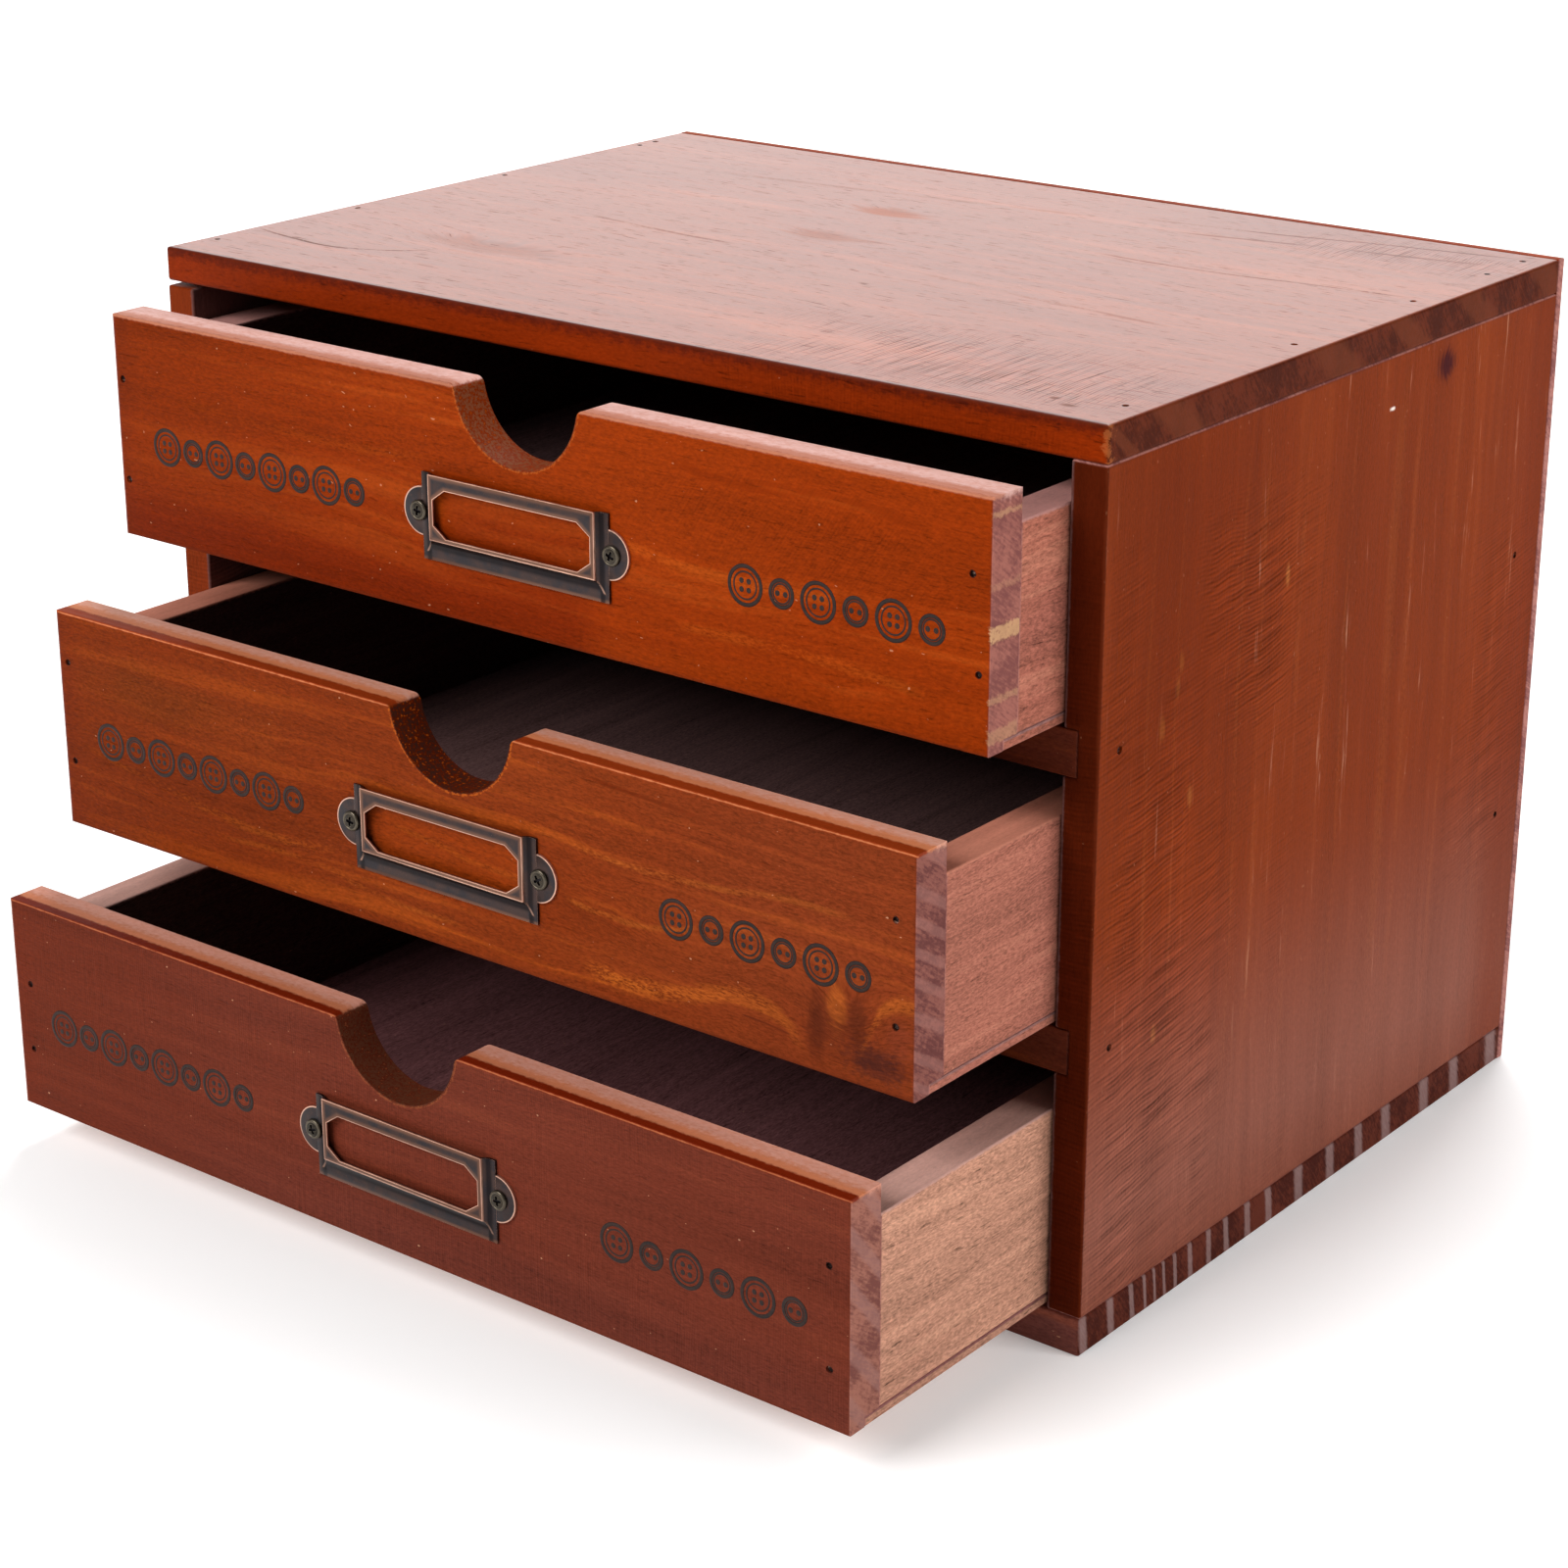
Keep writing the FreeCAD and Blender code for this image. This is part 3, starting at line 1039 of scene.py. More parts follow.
@dataclass
class DrawerFront(Board):
    """A drawer's front board with its finger notch and the rabbet for the bottom panel."""

    notch_radius: float = 16.5 * MM
    notch_rise: float = 1.6 * MM
    notch_shift: float = 0.9 * MM
    shoulder: float = 2.0 * MM
    rabbet: float = 2.2 * MM

    def shape(self, board: Piece, low: Vector, high: Vector) -> None:
        """Cuts the notch, its rounded shoulders and the rabbet.

        Args:
            board: The sawn front.
            low: Its lowest corner.
            high: Its highest corner.
        """
        middle = (low + high) / 2
        thick = high.y - low.y
        centre = Vector((middle.x + self.notch_shift, middle.y, high.z + self.notch_rise))
        reach = self.notch_radius + self.shoulder
        drop = self.notch_rise + self.shoulder
        offset = math.sqrt(reach ** 2 - drop ** 2)
        overlap = 0.2 * self.shoulder
        for side in (-1, 1):
            corner = Vector((centre.x + side * offset, middle.y, high.z - self.shoulder))
            inner_x = corner.x - side * (self.shoulder + overlap)
            chip = saw_block(
                "shoulder_cutter",
                Vector((min(corner.x, inner_x), low.y - thick, corner.z + overlap)),
                Vector((max(corner.x, inner_x), high.y + thick, high.z + self.shoulder)))
            cut_away(chip, turn_rod("shoulder", corner, self.shoulder, 6 * thick, 48))
            cut_away(board, chip)
        cut_away(board, turn_rod("notch_cutter", centre, self.notch_radius, 4 * thick, 128))
        cut_away(board, saw_block(
            "rabbet_cutter", Vector((low.x - thick, middle.y, low.z - thick)),
            Vector((high.x + thick, high.y + thick, low.z + self.rabbet))))


@dataclass
class LeftSideBoard(Board):
    """The left side board, planed low at its front so that the lid stands clear of it."""

    gap: float = 1.1 * MM
    gap_length: float = 95 * MM
    overshoot: float = 10 * MM

    def shape(self, board: Piece, low: Vector, high: Vector) -> None:
        """Planes the board's top edge down towards the front.

        Args:
            board: The sawn board.
            low: Its lowest corner.
            high: Its highest corner.
        """
        back = low.y + self.gap_length
        over = self.overshoot
        wedge = saw_block("wedge_cutter",
                          Vector((low.x - over, low.y - self.gap, high.z - self.gap)),
                          Vector((high.x + over, back, high.z + over)))
        with shaping(wedge) as mesh:
            choose(wedge, mesh.verts, lambda vertex: vertex.co.z < high.z
                   and vertex.co.y > back - self.gap)
            bpy.ops.transform.translate(value=(0.0, 0.0, self.gap))
        cut_away(board, wedge)


STAINED = Timber(
    name="stained_wood", grain=Grain.FRONT,
    pale=(0.27, 0.031, 0.0018), deep=(0.16, 0.014, 0.001), blotch=(0.19, 0.018, 0.001),
    gold=(0.42, 0.085, 0.008), edge_colour=(0.10, 0.016, 0.005), roughness=0.48)
RAW = replace(
    STAINED, pale=(0.42, 0.165, 0.115), deep=(0.27, 0.085, 0.06),
    blotch=(0.32, 0.10, 0.08), gold=(0.50, 0.24, 0.15), edge_colour=(0.30, 0.12, 0.09),
    gleam=(1.0, 0.6, 0.5), edge_strength=0.3, roughness=0.75,
    figure=Figure(coarse=0.5, fine=0.35, mottle=0.8, dashes=0.3, specks=0.3))


@dataclass
class Carcass:
    """The case: five boards, the back panel and the two dividers."""

    dark: Colour = (0.13, 0.075, 0.072)

    def top(self) -> Timber:
        """Picks the top board's wood: contour lines, knots, dark lines and saw marks.

        Returns:
            The wood.
        """
        brown, dim = (0.09, 0.022, 0.010), (0.13, 0.035, 0.016)
        return replace(
            STAINED, name="top_board_wood", grain=Grain.SHELF, seed=2.0, pith=(0.03, -0.09),
            ring_width=0.0085, pale=(0.25, 0.041, 0.006), deep=(0.14, 0.018, 0.004),
            blotch=(0.18, 0.024, 0.005), roughness=0.4, varnish=0.9, varnish_roughness=0.33,
            figure=Figure(mottle=0.4, dashes=0.35, specks=0.2, coarse=0.28, broad=0.3),
            end_pale=(0.100, 0.018, 0.007), end_deep=(0.05, 0.009, 0.004),
            end_rings=EndRings((-85.0, -66.0, -6.0, 23.0, 52.0, 85.0), (0.14, 0.032, 0.012),
                               0.22, 1.3, 0.5),
            veins=(
                Vein(((-124, -62.5), (-106, -66), (-96, -66.5), (-87, -64), (-74, -52)),
                     brown, 0.7, 0.7),
                Vein(((-74, -4.5), (-63, -6.5), (-45, -8.4), (-26, -9.2)), brown, 1.0, 0.5),
                Vein(((22, -7.7), (46, -11.6), (70, -14.6), (94, -17.3)), dim, 1.1, 0.4),
                Vein(((40, 33), (68, 31.8), (92, 34), (119, 36.5)), brown, 0.7, 0.55),
                Vein(((24, 69.5), (60, 74), (90, 80), (119, 84.5)), brown, 0.8, 0.5),
                Vein(((40, 62), (80, 69), (119, 75)), brown, 1.0, 0.4),
                Vein(((-100, 52), (-40, 58), (20, 66)), dim, 1.4, 0.3)),
            knots=(
                Knot(-68, -45, 20, 7, dim, 0.18, lift=9.0),
                Knot(-17, 10, 12, 5, (0.30, 0.08, 0.03), 0.3, lift=4.0),
                Knot(-21, 40, 11, 5, (0.42, 0.11, 0.035), 0.4, lift=5.0),
                Knot(111, -82, 2.6, 1.6, brown, 0.6),
                Knot(106, -79, 1.2, 1.0, brown, 0.6)),
            saws=(SawMarks(Area(along=(25, 115), across=(-84, -50), soft=28), 0.8, 0.8, 0.02),
                  SawMarks(Area(along=(70, 125), across=(60, 84), soft=16), 0.5, 0.8, 0.0)),
            stains=(
                Stain(Area(across=(-99, -88.9), soft=0.5), (0.20, 0.019, 0.0015)),
                Stain(Area(across=(-99, -88.9), through=(1.8, 9), soft=2.6),
                      (0.07, 0.007, 0.003), 0.85),
                # Painted dark reflection along the front edge of the top face.
                Stain(Area(across=(-99, -88.2), through=(3.2, 9), soft=0.9),
                      (0.07, 0.010, 0.006), 0.7)),
            overlays=(Stain(Area(along=(124.4, 126), across=(-91, -88.8), soft=1.2, fray=7.0),
                            (0.38, 0.11, 0.03), 0.45),))

    def side(self, name: str, seed: float, inside: float, edge: Colour) -> Timber:
        """A side board's wood: golden streaks, a knot and saw marks on its front half, and a
        painted reflection of the floor over its lower part.

        Args:
            name: The finish's name.
            seed: Where its figure is taken from.
            inside: 1 where the case's inside lies towards +X, -1 for -X.
            edge: The colour of its front edge; on the right board, painted shadow of the drawers.

        Returns:
            The wood.
        """
        gold, dim = (0.36, 0.10, 0.026), (0.11, 0.018, 0.008)
        streaks = ((-72, 0.5, gold), (-62, 0.4, gold), (-43, 0.9, dim), (-39, 0.6, gold),
                   (-31, 0.5, gold), (-16, 0.7, gold), (3, 0.5, gold), (22, 1.8, gold),
                   (30, 0.9, gold), (48, 0.6, gold))
        veins = tuple(Vein(((-88, place - 1), (-20, place + 0.6), (40, place - 0.5),
                            (88, place + 1.5)), colour, 1.6 * width, 0.15)
                      for place, width, colour in streaks)
        flecks = tuple(Knot(along, across, 2.6, 0.9, (0.36, 0.12, 0.03), 0.65)
                       for along, across in ((38, -62), (31, -67), (51, -22), (14, -56),
                                             (-34, -66), (43, -61)))
        inner = sorted((inside * 3.4, inside * 9.0))
        return replace(
            STAINED, name=name, grain=Grain.UPRIGHT, seed=seed,
            pale=(0.178, 0.027, 0.004), deep=(0.11, 0.014, 0.002), specular=0.02,
            blotch=(0.14, 0.020, 0.004), gold=(0.26, 0.055, 0.009),
            figure=Figure(mottle=0.3, fine=0.16, dashes=0.1, coarse=0.2, gold=0.15, rings=0.2,
                          specks=0.12),
            veins=veins,
            knots=(Knot(82, 40, 4.0, 4.2, (0.045, 0.010, 0.012), 0.95, lift=2.5),
                   Knot(77, 17.5, 0.5, 1.1, (0.9, 0.75, 0.65), 1.0)) + flecks,
            saws=(SawMarks(Area(along=(-92, 66), across=(-88, -12), soft=26), 0.62, 1.0, -0.14),
                  SawMarks(Area(along=(-40, 40), across=(56, 86), soft=26), 0.4, 0.95, -0.18)),
            stains=(
                # Painted reflection of the pale floor: a pinkish sheen over the lower part of the
                # board.
                Stain(Area(along=(-99, -40), soft=80, fray=0.02), (0.235, 0.088, 0.062), 0.85),
                Stain(Area(across=(74, 99), soft=16, fray=0.2), (0.16, 0.022, 0.004), 0.5),
                Stain(Area(along=(10, 99), across=(-90, -35), soft=50, fray=0.1),
                      (0.115, 0.013, 0.001), 0.6),
                # The front edge's colour, which on the right board is painted shadow cast by the
                # drawers.
                Stain(Area(across=(-99, -89.0), soft=0.5), edge),
                Stain(Area(through=(inner[0], inner[1]), soft=0.6), self.dark, 0.9)))

    def build(self) -> None:
        """Builds every board of the case."""
        shelf = replace(STAINED, name="bottom_board_wood", grain=Grain.SHELF, seed=7.0,
                        pale=(0.17, 0.054, 0.042), deep=(0.10, 0.026, 0.020),
                        blotch=(0.12, 0.034, 0.028), gleam=(1.0, 0.7, 0.6),
                        end_pale=(0.11, 0.024, 0.013), end_deep=(0.05, 0.010, 0.006),
                        end_rings=EndRings(
                            (-88.0, -78.0, -70.0, -65.2, -61.5, -57.8, -53.5, -47.8, -40.4,
                             -33.3, -24.9, -16.3, -3.4, 10.2, 22.9, 35.0, 52.9, 67.1, 85.2),
                            (0.26, 0.16, 0.15), 0.17, 0.12, 0.75))
        back = replace(STAINED, name="back_panel_wood", seed=8.5)
        divider = replace(shelf, pale=(0.095, 0.018, 0.008), deep=(0.06, 0.012, 0.006),
                          blotch=(0.07, 0.013, 0.007), end_rings=None)
        grooves = [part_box("lower_divider"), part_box("upper_divider")]
        Board("top_board", "cabinet", "case_wood", self.top(), 0.7 * MM,
              nails=NailRow("top_board_nails", Axis.Z, 1)).build()
        Board("bottom_board", "cabinet", "case_wood", shelf, 0.6 * MM,
              nails=NailRow("bottom_board_nails", Axis.Z, -1)).build()
        LeftSideBoard("left_side_board", "cabinet", "case_wood",
                      self.side("left_side_wood", 11.0, 1.0, (0.16, 0.022, 0.004)), 0.5 * MM,
                      grooves=grooves, nails=NailRow("side_board_nails", Axis.X, -1)).build()
        Board("right_side_board", "cabinet", "case_wood",
              # Dark front edge: painted shadow cast by the drawers.
              self.side("right_side_wood", 5.0, -1.0, (0.064, 0.008, 0.002)), 0.5 * MM,
              grooves=grooves, nails=NailRow("side_board_nails", Axis.X, 1)).build()
        Board("back_panel", "cabinet", "back_panel_wood", back, 0.3 * MM,
              nails=NailRow("back_panel_nails", Axis.Y, 1, 0.6 * MM, 0.3 * MM)).build()
        for number, name in enumerate(("lower_divider", "upper_divider")):
            Board(name, "cabinet", "case_wood",
                  replace(divider, name=f"{name}_wood", seed=14.0 + number), 0.4 * MM).build()


# --------------------------------------------------------------------------- metal

WORN_AND_SHADED = "rubbed_edge_and_shade"


@dataclass(frozen=True)
class Metal:
    """An aged metal: its dark skin, its warmer and bright rubbed places with painted
    highlights, its painted shade in hollows and rust pits on nails, and its shine.
    """

    name: str
    skin: Colour
    cool: Colour
    warm: Colour
    bright: Colour
    # Colour of the painted shade in coves and sunk crosses, and of rust pits on nails.
    dark: Colour = (0.008, 0.006, 0.007)
    roughness: float = 0.36
    specks: float = 0.3
    metallic: float = 0.85
    relief: float = 0.02 * MM

    def dress(self, piece: Piece, wear_and_shade: Callable[[NodeBench], WearAndShade]) -> None:
        """Gives a piece this metal.

        Args:
            piece: The piece to dress.
            wear_and_shade: Builds the masks of the warmer places, the bright ones and the dark ones.
        """
        bench = NodeBench(self.name)
        cloud = bench.noise(bench.point(), (260, 260, 260), 3.0, 0.6, 4.0)
        grit = bench.noise(bench.point(), (2600, 2600, 2600), 2.0, 0.6, 8.0)
        warmth, rub_and_highlight, shade = wear_and_shade(bench)
        colour = bench.mix(bench.step(cloud, 0.38, 0.66), self.skin, self.cool)
        colour = bench.mix(warmth * (0.7 + cloud * 0.6), colour, self.warm)
        colour = bench.mix(bench.step(grit, 0.62, 0.76) * self.specks, colour, self.warm)
        rub_and_highlight = rub_and_highlight * (0.95 + (cloud - 0.5) * 0.9)
        # Painted shade in coves and sunk crosses; on nails these are rust pits.
        colour = bench.mix(shade, colour, self.dark)
        # Rubbed metal with painted highlights along rims and ridges.
        colour = bench.mix(bench.step(rub_and_highlight, 0.1, 0.85), colour, self.bright)
        bench.finish({
            "Base Color": colour,
            "Metallic": self.metallic,
            "Roughness": self.roughness + (cloud - 0.5) * 0.25 + (grit - 0.5) * 0.15,
            "Specular IOR Level": 0.3,
        }, grit * 0.6 + cloud * 0.5, self.relief)
        piece.data.materials.clear()
        piece.data.materials.append(bench.material)


AGED_BRASS = Metal("aged_brass_skin", skin=(0.052, 0.032, 0.028), cool=(0.030, 0.026, 0.029),
                   warm=(0.20, 0.092, 0.056), bright=(0.78, 0.46, 0.34))
DARK_SCREW = Metal("dark_screw_skin", skin=(0.045, 0.036, 0.026), cool=(0.028, 0.023, 0.017),
                   warm=(0.08, 0.06, 0.04), bright=(0.34, 0.28, 0.20), roughness=0.34)
OLD_NAIL = Metal("old_nail_iron", skin=(0.02, 0.012, 0.010), cool=(0.012, 0.008, 0.008),
                 warm=(0.20, 0.12, 0.09), bright=(0.6, 0.45, 0.35), roughness=0.5, specks=0.6)


def mark_rubbed_edges(piece: Piece, width: float) -> None:
    """Rounds a metal piece's edges and remembers them as an attribute for its finish.

    Args:
        piece: The piece.
        width: How far the rounding reaches.
    """
    for name in ("flat_metal", "edge_metal"):
        piece.data.materials.append(bpy.data.materials.new(name))
    machine(piece, "BEVEL", width=width, segments=2, limit_method="ANGLE",
            angle_limit=METAL_ANGLE, material=1)
    worn = piece.data.attributes.new(WORN_AND_SHADED, "FLOAT", "FACE")
    for face, value in zip(piece.data.polygons, worn.data):
        value.value = float(face.material_index == 1)
        face.material_index = 0


def edge_wear_and_shade(bench: NodeBench) -> Shade:
    """Reads the remembered rubbed edges of a metal piece; sunk faces read below zero and get
    painted shade.
    """
    reader = bench.node("ShaderNodeAttribute", {"attribute_name": WORN_AND_SHADED})
    return Shade(bench, reader.outputs["Fac"])


@dataclass
class LabelHolder:
    """A pressed label frame with coved flanges, a clipped window and two ears."""

    sheet: float = 0.55 * MM
    base_width: float = 50.2 * MM
    base_sheet: float = 0.6 * MM
    face_width: float = 44.6 * MM
    face_bottom: float = 4.6 * MM
    side_cove: float = 1.7 * MM
    bottom_cove: float = 2.9 * MM
    window_width: float = 42.4 * MM
    window_low: float = 5.5 * MM
    window_high: float = 15.7 * MM
    clip_width: float = 3.4 * MM
    clip_height: float = 2.4 * MM
    ear_radius: float = 5.2 * MM
    ear_height: float = 10.1 * MM
    ear_overlap: float = 0.4 * MM
    ear_cut: float = 8 * MM
    overshoot: float = 5 * MM
    cove_steps: int = 7
    rubbed_width: float = 0.13 * MM
    low: Vector = field(init=False)
    high: Vector = field(init=False)
    middle: float = field(init=False)

    def build(self, bodies: Sequence[str]) -> None:
        """Presses one holder and fits a copy of it to each drawer.

        Args:
            bodies: The drawers.
        """
        self.measure(bodies[0])
        first, start = self.press(), self.low
        for body in bodies:
            self.measure(body)
            holder = copy_piece(first, f"{body}_label_frame", self.low - start)
            AGED_BRASS.dress(holder, self.wear_and_shade)
            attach(holder, body)
            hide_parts(f"{body}_label_holder")
            LOG.info("label holder %s: %d faces", holder.name, len(holder.data.polygons))
        bpy.data.objects.remove(first)

    def measure(self, body: str) -> None:
        """Notes where one drawer's holder is."""
        self.low, self.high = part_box(f"{body}_label_holder")
        self.middle = (self.low.x + self.high.x) / 2

    def press(self) -> Piece:
        """Presses and cuts the holder.

        Returns:
            The bare holder.
        """
        holder = self.press_face()
        cut_away(holder, self.window_cutter())
        for side in (-1, 1):
            ear = self.ear(side)
            machine(holder, "BOOLEAN", operation="UNION", solver="EXACT", object=ear)
            bpy.data.objects.remove(ear)
        mark_rubbed_edges(holder, self.rubbed_width)
        pick_up(holder)
        bpy.ops.object.shade_smooth_by_angle(angle=METAL_ANGLE)
        return holder

    def press_face(self) -> Piece:
        """Presses the raised face with its coved flanges and flat margins.

        Returns:
            The pressed sheet with its thickness.
        """
        top = self.high.z
        width, height = self.face_width, top - self.low.z - self.face_bottom
        rise = self.high.y - self.low.y - self.base_sheet
        clear_bench()
        bpy.ops.mesh.primitive_plane_add(
            size=1.0, location=(self.middle, self.low.y, top - height / 2),
            rotation=(math.pi / 2, 0.0, 0.0))
        bpy.context.view_layer.objects.active.scale = (width, height, 1.0)
        holder = settle("label_frame")
        outline = []
        for number in range(1, self.cove_steps + 1):
            turn = number / self.cove_steps * math.pi / 2
            out = 1 - math.cos(turn)
            outline.append((width + 2 * self.side_cove * out, height + self.bottom_cove * out,
                            rise * math.sin(turn)))
        outline.append((self.base_width, top - self.low.z, rise))
        depth = 0.0
        with shaping(holder, "EDGE") as mesh:
            choose(holder, mesh.edges,
                   lambda edge: min(vertex.co.z for vertex in edge.verts) < top - 1 * MM)
            for new_width, new_height, new_depth in outline:
                bpy.ops.mesh.extrude_edges_move()
                bpy.ops.transform.resize(
                    value=(new_width / width, 1.0, new_height / height),
                    center_override=(self.middle, self.low.y, top))
                bpy.ops.transform.translate(value=(0.0, new_depth - depth, 0.0))
                width, height, depth = new_width, new_height, new_depth
            bpy.ops.mesh.select_all(action="SELECT")
            bpy.ops.mesh.normals_make_consistent(inside=False)
        if holder.data.polygons[0].normal.y > 0:
            with shaping(holder, "FACE"):
                bpy.ops.mesh.select_all(action="SELECT")
                bpy.ops.mesh.flip_normals()
        machine(holder, "SOLIDIFY", thickness=self.sheet, offset=-1.0, use_even_offset=True)
        return holder

    def window_cutter(self) -> Piece:
        """Makes the clipped-corner block that opens the window.

        Returns:
            The cutter.
        """
        stretch = self.clip_width / self.clip_height
        middle = self.low.z + (self.window_low + self.window_high) / 2
        half = Vector((self.window_width / stretch / 2, 4 * MM,
                       (self.window_high - self.window_low) / 2))
        centre = Vector((self.middle, self.low.y, middle))
        cutter = saw_block("window_cutter", centre - half, centre + half)
        with shaping(cutter, "EDGE") as mesh:
            choose(cutter, mesh.edges, lambda edge: abs(
                edge.verts[0].co.y - edge.verts[1].co.y) > 1 * MM)
            bpy.ops.mesh.bevel(offset=self.clip_height, offset_type="OFFSET", segments=1)
            bpy.ops.mesh.select_all(action="SELECT")
            bpy.ops.transform.resize(value=(stretch, 1.0, 1.0), center_override=centre)
        return cutter

    def ear(self, side: int) -> Piece:
        """Makes one half-round ear.

        Args:
            side: -1 for the left one, 1 for the right one.

        Returns:
            The ear.
        """
        edge = self.middle + side * self.base_width / 2
        y = self.high.y - self.base_sheet / 2 - 0.01 * MM
        ear = turn_rod("ear", Vector((edge, y, self.low.z + self.ear_height)), self.ear_radius,
                       self.sheet, 72)
        inner, outer = sorted((edge - side * self.ear_overlap, edge - side * self.ear_cut))
        over = self.overshoot
        cut_away(ear, saw_block("ear_cutter", Vector((inner, y - over, self.low.z - over)),
                                Vector((outer, y + over, self.high.z + over))))
        return ear

    def rim_gap(self, bench: NodeBench, x: Shade, z: Shade) -> Shade:
        """Measures how far the face is from its own rim or its window's.

        Args:
            bench: The metal's nodes.
            x: How far aside of the holder's middle.
            z: How far above the holder's foot.

        Returns:
            The distance to the nearer rim.
        """
        half_height = (self.window_high - self.window_low) / 2
        over = abs(z - (self.window_low + self.window_high) / 2) - half_height
        aside = x - self.window_width / 2
        lean = math.hypot(self.clip_width, self.clip_height)
        clip = ((aside + self.clip_width) * (self.clip_height / lean)
                + (over + self.clip_height) * (self.clip_width / lean)
                - self.clip_width * self.clip_height / lean)
        window = bench.most(aside, over, clip)
        tall = self.high.z - self.low.z
        rim = bench.least(self.face_width / 2 - x, z - self.face_bottom, tall - z)
        return bench.least(abs(window), abs(rim))

    def wear_and_shade(self, bench: NodeBench) -> WearAndShade:
        """Masks the rubbed ridges and rims with their painted highlights, every edge, and the
        painted shade in the coves.

        Args:
            bench: The metal's nodes.

        Returns:
            The masks of the warmer places, the bright ones and the dark ones.
        """
        parts = bench.node("ShaderNodeSeparateXYZ", {}, {0: bench.point()})
        x = abs(Shade(bench, parts.outputs[Axis.X]) - self.middle)
        y = Shade(bench, parts.outputs[Axis.Y])
        z = Shade(bench, parts.outputs[Axis.Z]) - self.low.z
        near = self.rim_gap(bench, x, z)
        proud = bench.step(y, self.low.y + 0.55 * MM, self.low.y + 0.1 * MM)
        past = x - self.base_width / 2
        ear = self.ear_radius - bench.length(past, z - self.ear_height)
        ear_rim = bench.step(ear, 0.42 * MM, 0.12 * MM) * bench.step(past, 0.0, 0.2 * MM)
        out = (x - self.face_width / 2) * (1 / self.side_cove)
        down = (self.face_bottom - z) * (1 / self.bottom_cove)
        ridge = bench.step(abs(out - down), 0.3, 0.05) * bench.step(down, 0.0, 0.1)
        ridge = ridge * bench.step(down, 1.1, 0.9) * bench.step(y, self.low.y, self.high.y)
        # Painted shade in the coves beside and below the raised face.
        beside = bench.step(out, 0.15, 0.5) * bench.step(out, 1.3, 0.8)
        below = bench.step(down, 0.1, 0.35) * bench.step(down, 0.95, 0.6)
        shade = bench.most(below * bench.step(out, 0.7, 0.3), beside) * 0.85
        shade = shade * (1.0 - proud)
        foot = bench.step(z, 0.9 * MM, 0.2 * MM) * 0.7
        warmth = bench.step(near, 1.2 * MM, 0.1 * MM) * proud * 0.8
        warmth = bench.most(warmth, foot, ridge)
        # Thin bright lines along the face's rims, the low ridge, the corner ridges and the ears'
        # rims: painted highlights over rubbed copper.
        line = bench.step(near, 0.25 * MM, 0.05 * MM) * proud * 0.7
        low_ridge = bench.step(abs(z - self.face_bottom), 0.35 * MM, 0.1 * MM)
        line = bench.most(line, low_ridge * bench.step(out, 0.1, 0.0) * 0.65, ear_rim * 0.7,
                          ridge * 0.5, edge_wear_and_shade(bench) * 0.7)
        return warmth, line, shade


